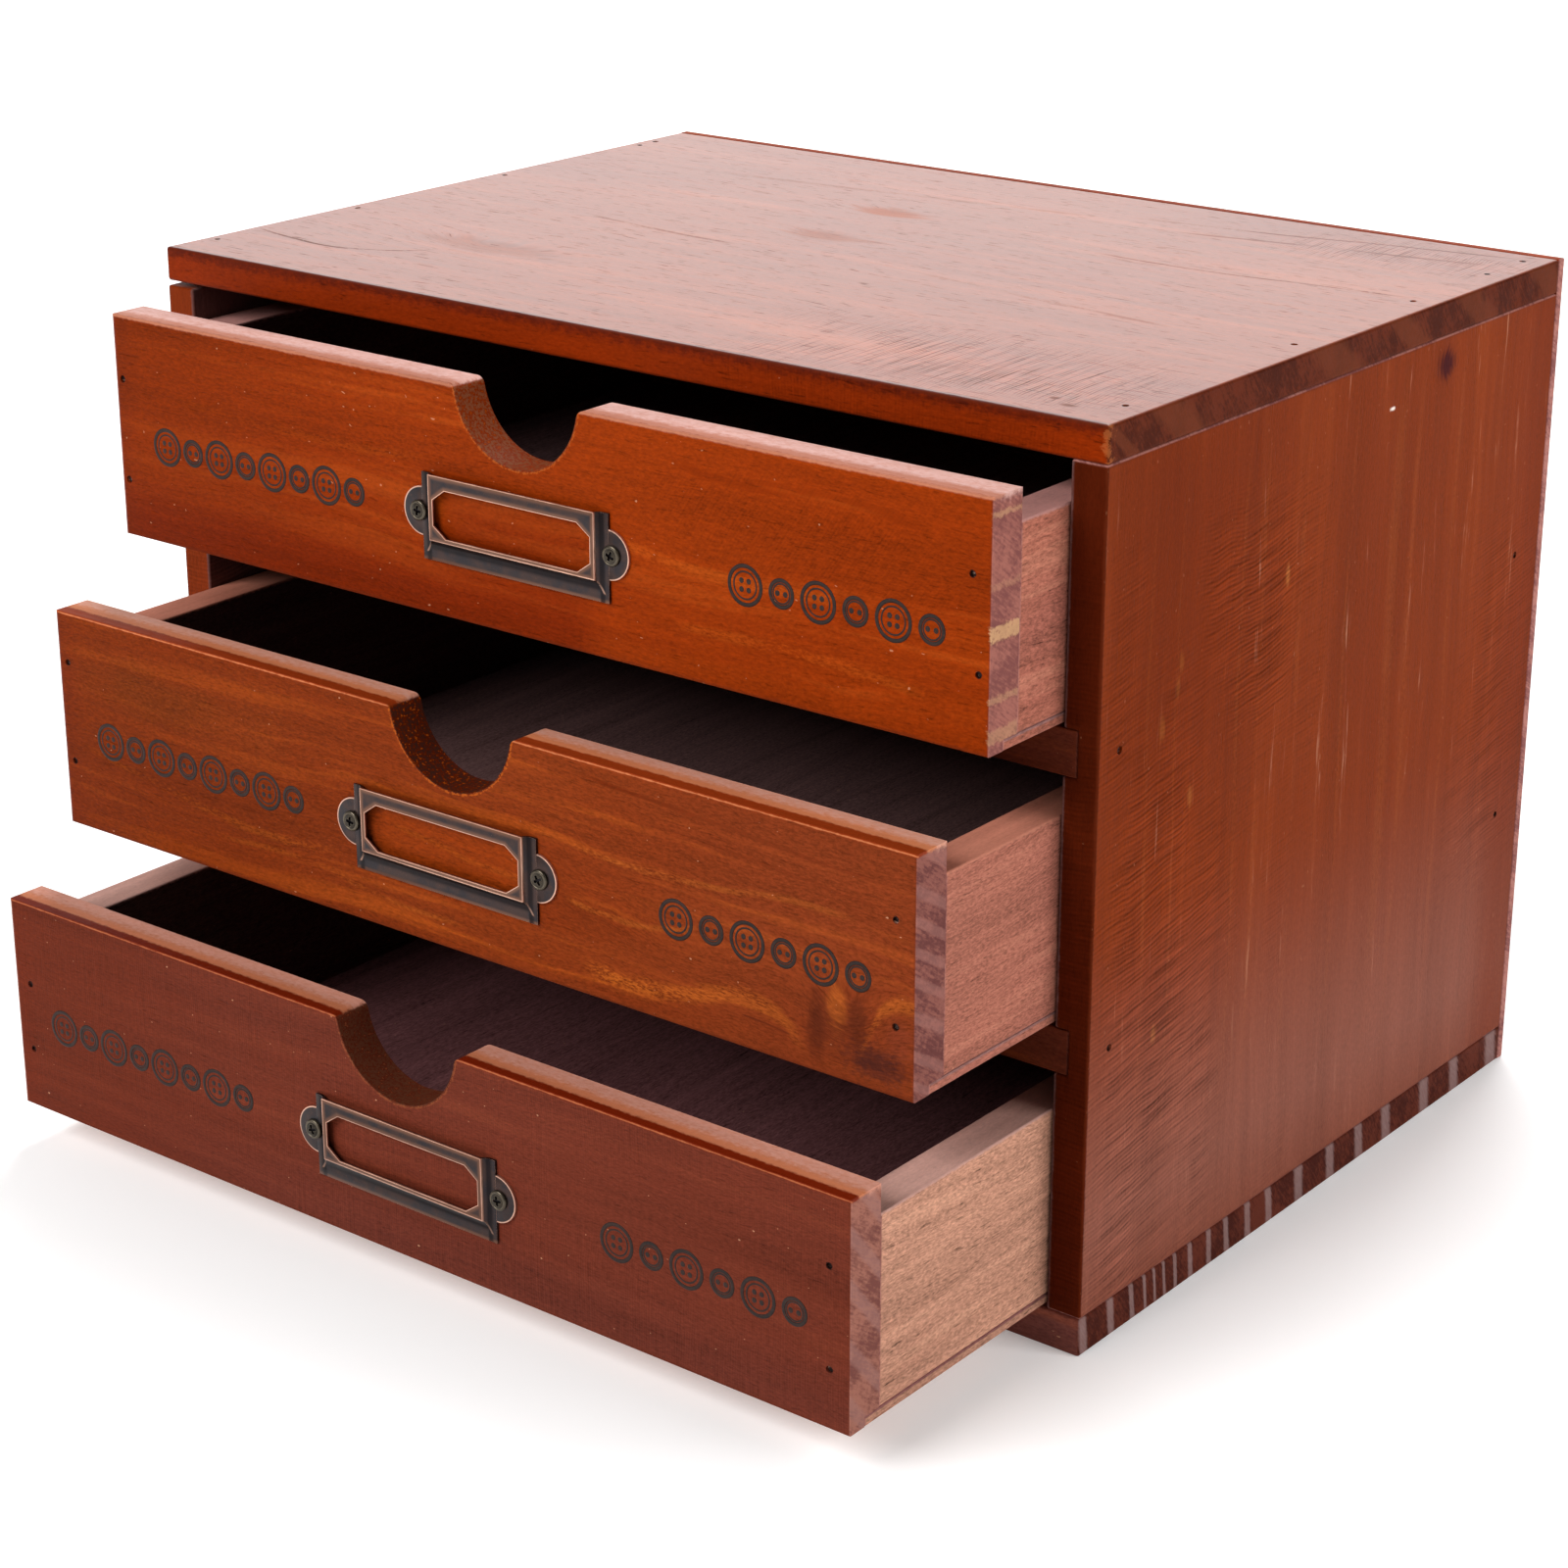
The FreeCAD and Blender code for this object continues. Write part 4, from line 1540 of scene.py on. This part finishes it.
@dataclass
class LabelScrews:
    """The two cross-headed screws of each label holder, turned once and copied."""

    radius: float = 2.2 * MM
    height: float = 0.95 * MM
    collar: float = 0.4 * MM
    profile: tuple[tuple[float, float], ...] = (
        (0.97, 0.16), (0.92, 0.12), (0.86, 0.06), (0.97, -0.09), (0.8, 0.12), (0.6, 0.08))
    slot_width: float = 0.78 * MM
    slot_span: float = 2.9 * MM
    slot_depth: float = 0.6 * MM
    slot_taper: float = 0.62
    rubbed_width: float = 0.06 * MM
    seat: float = 0.6 * MM

    def turn_head(self) -> Piece:
        """Turns one head at the origin, facing the front.

        Returns:
            The head, its rim marked as rubbed and its cross as sunk.
        """
        head = turn_rod("screw_head", Vector((0, -self.collar / 2, 0)), self.radius,
                        self.collar, 40)
        with shaping(head, "FACE") as mesh:
            choose(head, mesh.faces, lambda face: face.normal.y < -0.9)
            for scale, rise in self.profile:
                bpy.ops.mesh.extrude_region_move()
                bpy.ops.transform.resize(value=(scale, 1.0, scale),
                                         center_override=(0.0, 0.0, 0.0))
                bpy.ops.transform.translate(value=(0.0, -rise * MM, 0.0))
        top = (0.0, -self.height, 0.0)
        for width, tall in ((self.slot_span, self.slot_width), (self.slot_width, self.slot_span)):
            half = Vector((width / 2, self.slot_depth, tall / 2))
            arm = saw_block("slot_cutter", Vector(top) - half, Vector(top) + half)
            with shaping(arm, "FACE") as mesh:
                choose(arm, mesh.faces, lambda face: face.normal.y > 0.9)
                bpy.ops.transform.resize(value=(self.slot_taper, 1.0, self.slot_taper),
                                         center_override=top)
            cut_away(head, arm)
        mark_rubbed_edges(head, self.rubbed_width)
        self.mark_rim_and_cross(head)
        pick_up(head)
        bpy.ops.object.shade_smooth_by_angle(angle=METAL_ANGLE)
        return head

    def mark_rim_and_cross(self, head: Piece) -> None:
        """Marks the head's rim as rubbed and its sunk cross for painted shade.

        Args:
            head: The head, facing the front at the origin.
        """
        worn = head.data.attributes[WORN_AND_SHADED].data
        for face, value in zip(head.data.polygons, worn):
            away = math.hypot(face.center.x, face.center.z)
            if away > 0.82 * self.radius:
                value.value = 0.3
            elif away < self.slot_span / 2 and (
                    abs(face.normal.y) < 0.6 or face.center.y > 0.25 * MM - self.height):
                # The sunk cross gets painted shade.
                value.value = -1.0
            else:
                value.value *= 0.4

    def wear_and_shade(self, bench: NodeBench) -> WearAndShade:
        """Masks the rubbed rim and the painted shade in the sunk cross."""
        worn = edge_wear_and_shade(bench)
        return 0.0, worn, bench.step(worn, -0.1, -0.6)

    def build(self, bodies: Sequence[str]) -> None:
        """Drives two screws on each drawer.

        Args:
            bodies: The drawers.
        """
        first = self.turn_head()
        for body in bodies:
            low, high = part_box(f"{body}_label_screws")
            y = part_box(f"{body}_label_holder")[1].y - self.seat
            z = (low.z + high.z) / 2
            heads = []
            for x in (low.x + self.radius, high.x - self.radius):
                head = copy_piece(first, "screw_head_copy", Vector((0, 0, 0)))
                head.rotation_euler.y = random.uniform(0, math.pi / 2)
                head.location = (x, y, z)
                bpy.ops.object.transform_apply(location=True, rotation=True, scale=True)
                heads.append(head)
            pair = join_pieces(heads, f"{body}_screw_heads")
            DARK_SCREW.dress(pair, self.wear_and_shade)
            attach(pair, body)
            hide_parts(f"{body}_label_screws")
            LOG.info("screws %s: %d faces", pair.name, len(pair.data.polygons))
        bpy.data.objects.remove(first)


# --------------------------------------------------------------------------- print


@dataclass(frozen=True)
class ButtonKind:
    """A printed button outline: its radius and how many holes it has."""

    name: str
    radius: float
    holes: int
    hole_reach: float


LARGE = ButtonKind("large_button", radius=4.3 * MM, holes=4, hole_reach=1.25 * MM)
SMALL = ButtonKind("small_button", radius=3.1 * MM, holes=2, hole_reach=0.95 * MM)


@dataclass
class ButtonPrint:
    """Two rows of plain button outlines in dark ink on each drawer's front."""

    film: float = 0.03 * MM
    line: float = 0.85 * MM
    inner_ring: float = 0.64
    inner_line: float = 0.45
    hole_radius: float = 0.6 * MM
    rise: float = 22.0 * MM
    left_start: float = -106.0 * MM
    left_kinds: tuple[ButtonKind, ...] = (LARGE, SMALL) * 4
    left_gap: float = 0.7 * MM
    right_start: float = 55.0 * MM
    right_kinds: tuple[ButtonKind, ...] = (LARGE, SMALL) * 3
    right_gap: float = 1.4 * MM

    def ring(self, radius: float, line: float) -> Piece:
        """Draws a ring of ink at the origin, as a flattened hoop facing the front.

        Args:
            radius: Its middle radius.
            line: Its line's width.

        Returns:
            The ring.
        """
        clear_bench()
        bpy.ops.mesh.primitive_torus_add(
            rotation=(math.pi / 2, 0.0, 0.0), major_radius=radius, minor_radius=line / 2,
            major_segments=40, minor_segments=6)
        return self.press(settle("ink_ring"), line)

    def dot(self, x: float, z: float) -> Piece:
        """Draws the dot of ink that stands for one hole.

        Args:
            x: Its place to the right of the origin.
            z: Its place above the origin.

        Returns:
            The dot.
        """
        clear_bench()
        bpy.ops.mesh.primitive_ico_sphere_add(subdivisions=2, radius=self.hole_radius,
                                              location=(x, 0.0, z))
        return self.press(settle("ink_dot"), 2 * self.hole_radius)

    def press(self, piece: Piece, thick: float) -> Piece:
        """Flattens a shape, as thick as given, to the thickness of ink."""
        piece.scale.y = 2 * self.film / thick
        return settle(piece.name)

    def draw(self, kind: ButtonKind) -> Piece:
        """Draws one button outline at the origin.

        Args:
            kind: The kind of button.

        Returns:
            The outline.
        """
        marks = [self.ring(kind.radius - self.line / 2, self.line),
                 self.ring(self.inner_ring * kind.radius, self.inner_line * self.line)]
        for number in range(kind.holes):
            turn = math.pi / kind.holes * (2 * number + (kind.holes == 4))
            marks.append(self.dot(kind.hole_reach * math.cos(turn),
                                  kind.hole_reach * math.sin(turn)))
        return join_pieces(marks, kind.name)

    def ink(self, body: str) -> bpy.types.Material:
        """Mixes the worn dark ink.

        Args:
            body: The drawer whose print it is.

        Returns:
            The ink's material.
        """
        bench = NodeBench(f"{body}_ink")
        grain = bench.noise(bench.point(), (90, 900, 900), 3.0, 0.6, 6.0)
        grit = bench.noise(bench.point(), (1600, 1600, 1600), 2.0, 0.6, 9.0)
        colour = bench.mix(bench.step(grain, 0.35, 0.7), (0.015, 0.009, 0.007),
                           (0.028, 0.013, 0.009))
        colour = bench.mix(bench.step(grit, 0.62, 0.72) * 0.35, colour, (0.11, 0.026, 0.009))
        bench.finish({"Base Color": colour, "Roughness": 0.6 + (grit - 0.5) * 0.3,
                      "Specular IOR Level": 0.2}, grain, 0.01 * MM)
        return bench.material

    def build(self, bodies: Sequence[str]) -> None:
        """Prints both rows on each drawer.

        Args:
            bodies: The drawers.
        """
        outlines = {kind: self.draw(kind) for kind in (LARGE, SMALL)}
        for body in bodies:
            low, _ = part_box(f"{body}_front")
            marks = []
            for start, kinds, gap in ((self.left_start, self.left_kinds, self.left_gap),
                                      (self.right_start, self.right_kinds, self.right_gap)):
                x = start
                for kind in kinds:
                    place = Vector((x + kind.radius, low.y, low.z + self.rise))
                    marks.append(copy_piece(outlines[kind], "button_mark", place))
                    x += 2 * kind.radius + gap
            print_piece = join_pieces(marks, f"{body}_button_print")
            print_piece.data.materials.append(self.ink(body))
            pick_up(print_piece)
            bpy.ops.object.shade_smooth()
            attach(print_piece, body)
            LOG.info("print %s: %d faces", print_piece.name, len(print_piece.data.polygons))
        for outline in outlines.values():
            bpy.data.objects.remove(outline)


# --------------------------------------------------------------------------- drawers


@dataclass
class Drawer:
    """One drawer: its front, sides, back and bottom panel.

    The front's top edge is stained along its lip and bare behind it, from bare_from on, in
    millimetres back from the board's middle.
    """

    body: str
    front: Timber
    side: Timber
    crown: Colour
    crown_front: Colour
    side_crown: Colour
    lip: Colour
    bare_from: float
    # Strength of the painted highlight just under the front's varnished top edge.
    varnished_edge_highlight: float
    notch_colour: Colour
    notch_grit: float
    floor: Colour
    inner: Colour = (0.066, 0.034, 0.032)

    def front_wood(self) -> Timber:
        """Adds the bare crown, the painted highlight along the varnished top edge, the dark
        inside and the notch.

        Returns:
            The front's wood.
        """
        low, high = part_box(f"{self.body}_front")
        top = (high.z - low.z) / 2 / MM
        face = (-9.0, -4.2)
        return replace(
            self.front,
            notch=Notch(DrawerFront.notch_shift, top * MM + DrawerFront.notch_rise,
                        DrawerFront.notch_radius, self.notch_colour, self.notch_grit),
            stains=self.front.stains + (
                Stain(Area(along=(-130, -113), soft=9, fray=0.3), (0.12, 0.014, 0.003), 0.45),
                Stain(Area(through=(3.9, 9), soft=0.6), self.inner, 0.9)),
            overlays=self.front.overlays + (
                Stain(Area(across=(top - 0.6, top + 9), through=(-9.0, self.bare_from),
                           soft=0.5), self.lip, 0.9),
                Stain(Area(across=(top - 0.5, top + 9), through=(self.bare_from, 9.0),
                           soft=0.8, fray=1.4), self.crown_front),
                Stain(Area(across=(top - 0.5, top + 9), through=(self.bare_from + 2.6, 9.0),
                           soft=2.6), self.crown),
                # Painted highlight just under the face's rounded, varnished top edge.
                Stain(Area(across=(top - 0.5, top - 0.25), through=face, soft=0.25, fray=1.6),
                      (0.60, 0.20, 0.08), self.varnished_edge_highlight)))

    def side_wood(self, name: str, grain: Grain, seed: float, inside: float) -> Timber:
        """A drawer side's or back's wood with its top edge and dark inside.

        Args:
            name: The finish's name.
            grain: How the board lies.
            seed: How far on its figure is taken from.
            inside: 1 where the drawer's inside is on the board's far side, else -1.

        Returns:
            The wood.
        """
        inner = sorted((inside * 4.0, inside * 9.0))
        return replace(
            self.side, name=f"{self.body}_{name}_wood", grain=grain,
            seed=self.side.seed + seed,
            stains=self.side.stains + (
                Stain(Area(through=(inner[0], inner[1]), soft=0.6), self.inner, 0.9),),
            overlays=(Stain(Area(across=(20.1, 30), soft=0.5, fray=2.0), self.side_crown,
                            0.8),))

    def build(self) -> None:
        """Builds the drawer's boards."""
        DrawerFront(f"{self.body}_front", self.body, f"{self.body}_front_wood",
                    self.front_wood(), 0.7 * MM,
                    nails=NailRow(f"{self.body}_front_nails", Axis.Y, -1)).build()
        for place, seed, inside in (("left_side", 0.0, 1.0), ("right_side", 3.0, -1.0)):
            Board(f"{self.body}_{place}", self.body, "drawer_side_wood",
                  self.side_wood(place, Grain.RUNNER, seed, inside), 0.35 * MM).build()
        Board(f"{self.body}_back", self.body, "drawer_side_wood",
              self.side_wood("back", Grain.FRONT, 8.0, -1.0), 0.4 * MM,
              nails=NailRow(f"{self.body}_back_nails", Axis.Y, 1)).build()
        floor = replace(self.side, name=f"{self.body}_bottom_wood", grain=Grain.PANEL,
                        seed=self.side.seed + 12.0, stains=(
                            Stain(Area(through=(0.6, 9), soft=0.4), self.floor),))
        Board(f"{self.body}_bottom_panel", self.body, "drawer_bottom_wood", floor, 0.25 * MM,
              nails=NailRow(f"{self.body}_bottom_nails", Axis.Z, -1, 0.6 * MM, 0.3 * MM)).build()


def top_drawer() -> Drawer:
    """Picks the top drawer's wood: even orange, darker along its foot, with banded ends.

    Returns:
        The drawer, ready to build.
    """
    front = replace(
        STAINED, name="top_front_wood", seed=21.0, pale=(0.230, 0.027, 0.0018),
        gold=(0.36, 0.070, 0.008),
        figure=Figure(mottle=0.5, blotch=0.55, broad=0.55, gold=0.3, specks=0.35),
        end_pale=(0.31, 0.115, 0.090), end_deep=(0.18, 0.062, 0.056),
        overlays=tuple(
            Stain(Area(along=(116.2, 130), across=(middle - tall / 2, middle + tall / 2),
                       soft=0.8, fray=2.5), (0.58, 0.34, 0.17), strength)
            for middle, tall, strength in ((-21.2, 2.6, 0.3), (-14.1, 1.3, 0.3),
                                           (-1.4, 3.0, 0.7), (7.6, 1.2, 0.15),
                                           (21.3, 1.0, 0.35))),
        veins=(Vein(((39, 20), (58, 17), (81, 18), (104, 15)), (0.13, 0.012, 0.001), 1.6, 0.4),
               Vein(((22, 1), (52, -2), (84, -1)), (0.34, 0.060, 0.006), 1.8, 0.45),
               Vein(((40, -14), (72, -14), (104, -16)), (0.34, 0.060, 0.006), 1.6, 0.4),
               Vein(((-100, 9), (-60, 7), (-22, 8)), (0.32, 0.055, 0.006), 1.6, 0.35)),
        saws=(SawMarks(Area(along=(30, 110), across=(-5, 22), soft=20), 0.16, 0.9, -0.7),),
        # Painted shade of the label holder over the wood in its window.
        stains=(Stain(Area(along=(-20, 20), across=(-13, 2), soft=5), (0.13, 0.012, 0.001),
                      0.55),
                Stain(Area(along=(-200, -45), soft=130, fray=0.03), (0.150, 0.017, 0.001), 0.8),
                Stain(Area(along=(-130, 20), across=(-30, -14), soft=14, fray=0.15),
                      (0.125, 0.010, 0.001), 0.75)))
    side = replace(RAW, seed=31.0, pale=(0.33, 0.112, 0.074), deep=(0.22, 0.066, 0.045))
    return Drawer(
        "top_drawer", front, side, crown=(0.575, 0.352, 0.317),
        crown_front=(0.42, 0.17, 0.115), side_crown=(0.44, 0.22, 0.20),
        lip=(0.40, 0.15, 0.09), bare_from=-4.0, varnished_edge_highlight=0.25,
        notch_colour=(0.17, 0.050, 0.020), notch_grit=0.5, floor=(0.24, 0.13, 0.13))


def middle_drawer() -> Drawer:
    """Picks the middle drawer's wood: wavy golden veins and a burl at its lower right.

    Returns:
        The drawer, ready to build.
    """
    gold, red = (0.34, 0.085, 0.012), (0.09, 0.008, 0.001)
    burl, plum, amber = (0.010, 0.002, 0.002), (0.022, 0.006, 0.007), (0.44, 0.105, 0.012)
    front = replace(
        STAINED, name="middle_front_wood", seed=22.0, pale=(0.178, 0.028, 0.005),
        deep=(0.12, 0.012, 0.001), blotch=(0.145, 0.017, 0.002),
        figure=Figure(mottle=0.6, gold=0.35, coarse=0.35, broad=0.5),
        end_pale=(0.24, 0.088, 0.070), end_deep=(0.12, 0.040, 0.037),
        end_rings=EndRings((-24.0, -18.0, -10.0, -3.0, 3.0, 9.0, 15.0, 24.0),
                           (0.36, 0.17, 0.145), 0.25, 0.6, 0.3),
        veins=(
            Vein(((-112, -5), (-82, -10), (-56, -12.5), (-30, -11.5)), gold, 1.3, 0.5),
            Vein(((-70, -17), (-45, -15.5), (-20, -18.5), (4, -19)), gold, 0.9, 0.4),
            Vein(((-18, -1), (-5, -2.5), (16, -4.5), (30, -4)), gold, 1.0, 0.45),
            Vein(((30, 6.6), (45, 5.4), (68, 6.3), (91, 8.8), (104, 8.6)), gold, 1.1, 0.55),
            Vein(((30, -5.4), (45, -6.6), (57, -5.2), (66, -2)), gold, 0.9, 0.45),
            Vein(((34, 22), (45, 21), (69, 19.5), (91, 18), (112, 17)), red, 0.7, 0.6),
            Vein(((50, 15), (74, 14.5), (98, 13), (114, 12)), red, 0.6, 0.4),
            Vein(((34, -18.8), (52, -19.3), (68, -16.1), (75, -14.4), (81, -14.8),
                  (88, -18.5), (93, -24)), amber, 2.7, 0.65),
            Vein(((103, -21), (104.4, -17.2), (106.1, -14), (107.6, -10.4), (110.1, -7.3),
                  (113.6, -5.6), (120, -7)), amber, 2.4, 0.75),
            Vein(((75, -18), (80, -18.2), (88, -19.2)), burl, 0.4, 0.9)),
        knots=(Knot(101, -12, 9, 7, red, 0.3, lift=6.0), Knot(62, -9, 20, 6, lift=3.0),
               Knot(98.4, -10.5, 2.8, 6.0, amber, 0.75),
               Knot(113, -13, 4.0, 5.0, (0.12, 0.022, 0.012), 0.6),
               Knot(108, -19.2, 8.0, 3.2, plum, 0.9),
               Knot(93.6, -15.5, 2.6, 8.5, burl, 0.85),
               Knot(103.3, -12.5, 2.6, 6.5, burl, 0.85)),
        stains=(Stain(Area(along=(-112, -50), across=(2, 19), soft=14, fray=2.2),
                      (0.27, 0.055, 0.008), 0.3),
                Stain(Area(along=(-200, -35), soft=130, fray=0.03), (0.125, 0.015, 0.001), 0.7),
                Stain(Area(along=(60, 200), soft=80, fray=0.05), (0.170, 0.032, 0.011), 0.5),
                Stain(Area(along=(-20, 20), across=(-13, 2), soft=5), (0.26, 0.035, 0.002), 0.5),
                Stain(Area(along=(78, 130), across=(-30, -16), soft=9, fray=1.2),
                      (0.10, 0.014, 0.004), 0.25)),
        overlays=(Stain(Area(along=(102, 113), across=(-21.5, -17.5), soft=7, fray=1.6),
                        (0.038, 0.012, 0.010), 0.7),
                  Stain(Area(along=(91, 104), across=(-19.5, -10), soft=7, fray=2.2),
                        (0.060, 0.012, 0.007), 0.3)))
    side = replace(RAW, seed=32.0, pale=(0.34, 0.122, 0.083), deep=(0.22, 0.070, 0.050))
    return Drawer(
        "middle_drawer", front, side, crown=(0.60, 0.31, 0.235),
        crown_front=(0.535, 0.18, 0.078), side_crown=(0.50, 0.19, 0.125),
        lip=(0.24, 0.031, 0.005), bare_from=-1.5, varnished_edge_highlight=0.7,
        notch_colour=(0.05, 0.016, 0.010), notch_grit=0.9, floor=(0.21, 0.11, 0.105))


def bottom_drawer() -> Drawer:
    """Picks the bottom drawer's wood: matt red-brown with fine saw marks and tan sides.

    Returns:
        The drawer, ready to build.
    """
    front = replace(
        STAINED, name="bottom_front_wood", seed=23.0,
        pale=(0.126, 0.024, 0.012), deep=(0.088, 0.014, 0.006), blotch=(0.105, 0.018, 0.009),
        gleam=(1.0, 0.6, 0.45), gold=(0.22, 0.055, 0.02),
        figure=Figure(mottle=0.5, gold=0.1, coarse=0.25, broad=0.5),
        end_pale=(0.31, 0.125, 0.09), end_deep=(0.16, 0.055, 0.045),
        end_rings=EndRings((-24.0, -12.0, 1.0, 12.0, 24.0), (0.30, 0.15, 0.13), 0.25, 1.2,
                           0.5),
        saws=(SawMarks(Area(), 0.18, 0.6, 0.0),),
        stains=(Stain(Area(across=(-30, -15), soft=16, fray=0.1), (0.120, 0.026, 0.016), 0.6),
                Stain(Area(along=(-200, -60), soft=110, fray=0.05), (0.100, 0.013, 0.003),
                      0.7)))
    side = replace(RAW, seed=33.0, pale=(0.45, 0.225, 0.150), deep=(0.30, 0.130, 0.082),
                   blotch=(0.36, 0.17, 0.115), gold=(0.55, 0.31, 0.20),
                   figure=replace(RAW.figure, rings=0.6, dashes=0.4))
    return Drawer(
        "bottom_drawer", front, side, crown=(0.60, 0.29, 0.22),
        crown_front=(0.48, 0.16, 0.075), side_crown=(0.48, 0.28, 0.24),
        lip=(0.15, 0.011, 0.001), bare_from=-2.2, varnished_edge_highlight=0.5,
        notch_colour=(0.10, 0.030, 0.014), notch_grit=0.8, floor=(0.19, 0.075, 0.078))


def nail_wear(bench: NodeBench) -> WearAndShade:
    """Masks the rust, the few bright spots and the dark pits of a nail.

    Args:
        bench: The metal's nodes.

    Returns:
        The masks of the warmer places, the bright ones and the dark ones.
    """
    rust = bench.noise(bench.point(), (1400, 1400, 1400), 2.0, 0.6, 2.0)
    return (bench.step(rust, 0.5, 0.7), bench.step(rust, 0.68, 0.75) * 0.8,
            bench.step(rust, 0.4, 0.3))


def dress_nails(nodes: dict[str, Piece]) -> None:
    """Gives every group of nails its old iron.

    Args:
        nodes: The frame's nodes by name.
    """
    for name, nails in nodes.items():
        if name.endswith("_nails"):
            OLD_NAIL.dress(nails, nail_wear)
            LOG.info("nails %s", name)


# --------------------------------------------------------------------------- studio


@dataclass(frozen=True)
class SoftLight:
    """A square of soft light, aimed at the cabinet."""

    name: str
    place: tuple[float, float, float]
    size: tuple[float, float]
    power: float
    target: tuple[float, float, float] = (0.0, 0.0, 0.1)

    def hang(self) -> None:
        """Hangs the light where the camera doesn't see it."""
        clear_bench()
        bpy.ops.object.light_add(type="AREA", location=self.place)
        lamp = bpy.context.view_layer.objects.active
        lamp.name = lamp.data.name = self.name
        lamp.data.shape = "RECTANGLE"
        lamp.data.size, lamp.data.size_y = self.size
        lamp.data.energy = self.power
        aim = Vector(self.target) - Vector(self.place)
        lamp.rotation_euler = aim.to_track_quat("-Z", "Y").to_euler()
        lamp.visible_camera = False


@dataclass
class Studio:
    """Pale floor, soft lights and the camera."""

    camera_place: tuple[float, float, float] = (0.4621, -0.6134, 0.3573)
    camera_turn: tuple[float, float, float] = (69.310, 0.0, 38.192)
    lens: float = 80.85
    nearest: float = 0.01
    floor_reach: float = 8.0
    floor_cuts: int = 7
    floor_glow: tuple[float, float] = (0.24, 0.75)
    glow_reach: tuple[float, float] = (0.45, 2.0)
    paper: tuple[float, float] = (0.88, 0.84)
    sky: float = 0.14
    lights: tuple[SoftLight, ...] = (
        SoftLight("key_light", (-0.55, -1.8, 1.5), (1.2, 1.2), 50.0),
        SoftLight("back_light", (-2.5, 3.2, 1.15), (6.0, 1.3), 47.0, (0.0, 0.0, 0.19)),
        SoftLight("overhead_light", (-0.5, 1.2, 2.3), (1.0, 1.0), 46.0),
        SoftLight("side_light", (1.9, 0.35, 1.0), (1.0, 1.0), 25.0))

    def build(self) -> None:
        """Sets up the whole studio."""
        self.stand_camera()
        self.lay_floor()
        world = bpy.data.worlds.new("studio_air")
        bpy.context.scene.world = world
        world.use_nodes = True
        background = world.node_tree.nodes["Background"]
        background.inputs["Color"].default_value = (1.0, 1.0, 1.0, 1.0)
        background.inputs["Strength"].default_value = self.sky
        for light in self.lights:
            light.hang()
        bpy.context.scene.view_settings.view_transform = "Standard"
        LOG.info("studio: camera, floor and lights")

    def stand_camera(self) -> None:
        """Stands the camera and makes it the scene's own."""
        clear_bench()
        bpy.ops.object.camera_add(
            location=self.camera_place,
            rotation=tuple(math.radians(angle) for angle in self.camera_turn))
        camera = bpy.context.view_layer.objects.active
        camera.name = "studio_camera"
        camera.data.lens = self.lens
        camera.data.clip_start = self.nearest
        bpy.context.scene.camera = camera

    def lay_floor(self) -> None:
        """Lays the pale, faintly lit floor."""
        clear_bench()
        bpy.ops.mesh.primitive_plane_add(size=2 * self.floor_reach, location=(0, 0, 0))
        floor = settle("studio_floor")
        with shaping(floor, "FACE"):
            bpy.ops.mesh.select_all(action="SELECT")
            bpy.ops.mesh.subdivide(number_cuts=self.floor_cuts)
        bench = NodeBench("floor_paper")
        tooth = bench.noise(bench.point(), (420, 420, 420), 2.0, 0.5)
        cloud = bench.noise(bench.point(), (2, 2, 2), 2.0, 0.5)
        light, dim = ((grey,) * 3 for grey in self.paper)
        colour = bench.mix(cloud * 0.3 + tooth * 0.2, light, dim)
        reach = Shade(bench, bench.node("ShaderNodeVectorMath", {"operation": "LENGTH"},
                                        {0: bench.point()}).outputs["Value"])
        near, far = ((glow,) * 3 for glow in self.floor_glow)
        glow = bench.mix(bench.step(reach, *self.glow_reach), near, far)
        bench.finish({"Base Color": colour, "Roughness": 0.9 + tooth * 0.08,
                      "Specular IOR Level": 0.1, "Emission Color": glow,
                      "Emission Strength": 1.0}, tooth, 0.02 * MM)
        floor.data.materials.append(bench.material)


def main() -> None:
    """Builds the cabinet's looks in order."""
    logging.basicConfig(level=logging.INFO, format="%(name)s: %(message)s")
    random.seed(SEED)
    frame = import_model()
    Studio().build()
    Carcass().build()
    drawers = (top_drawer(), middle_drawer(), bottom_drawer())
    for drawer in drawers:
        drawer.build()
    bodies = [drawer.body for drawer in drawers]
    LabelHolder().build(bodies)
    LabelScrews().build(bodies)
    ButtonPrint().build(bodies)
    dress_nails(frame["nodes"])


if __name__ == "__main__":
    main()
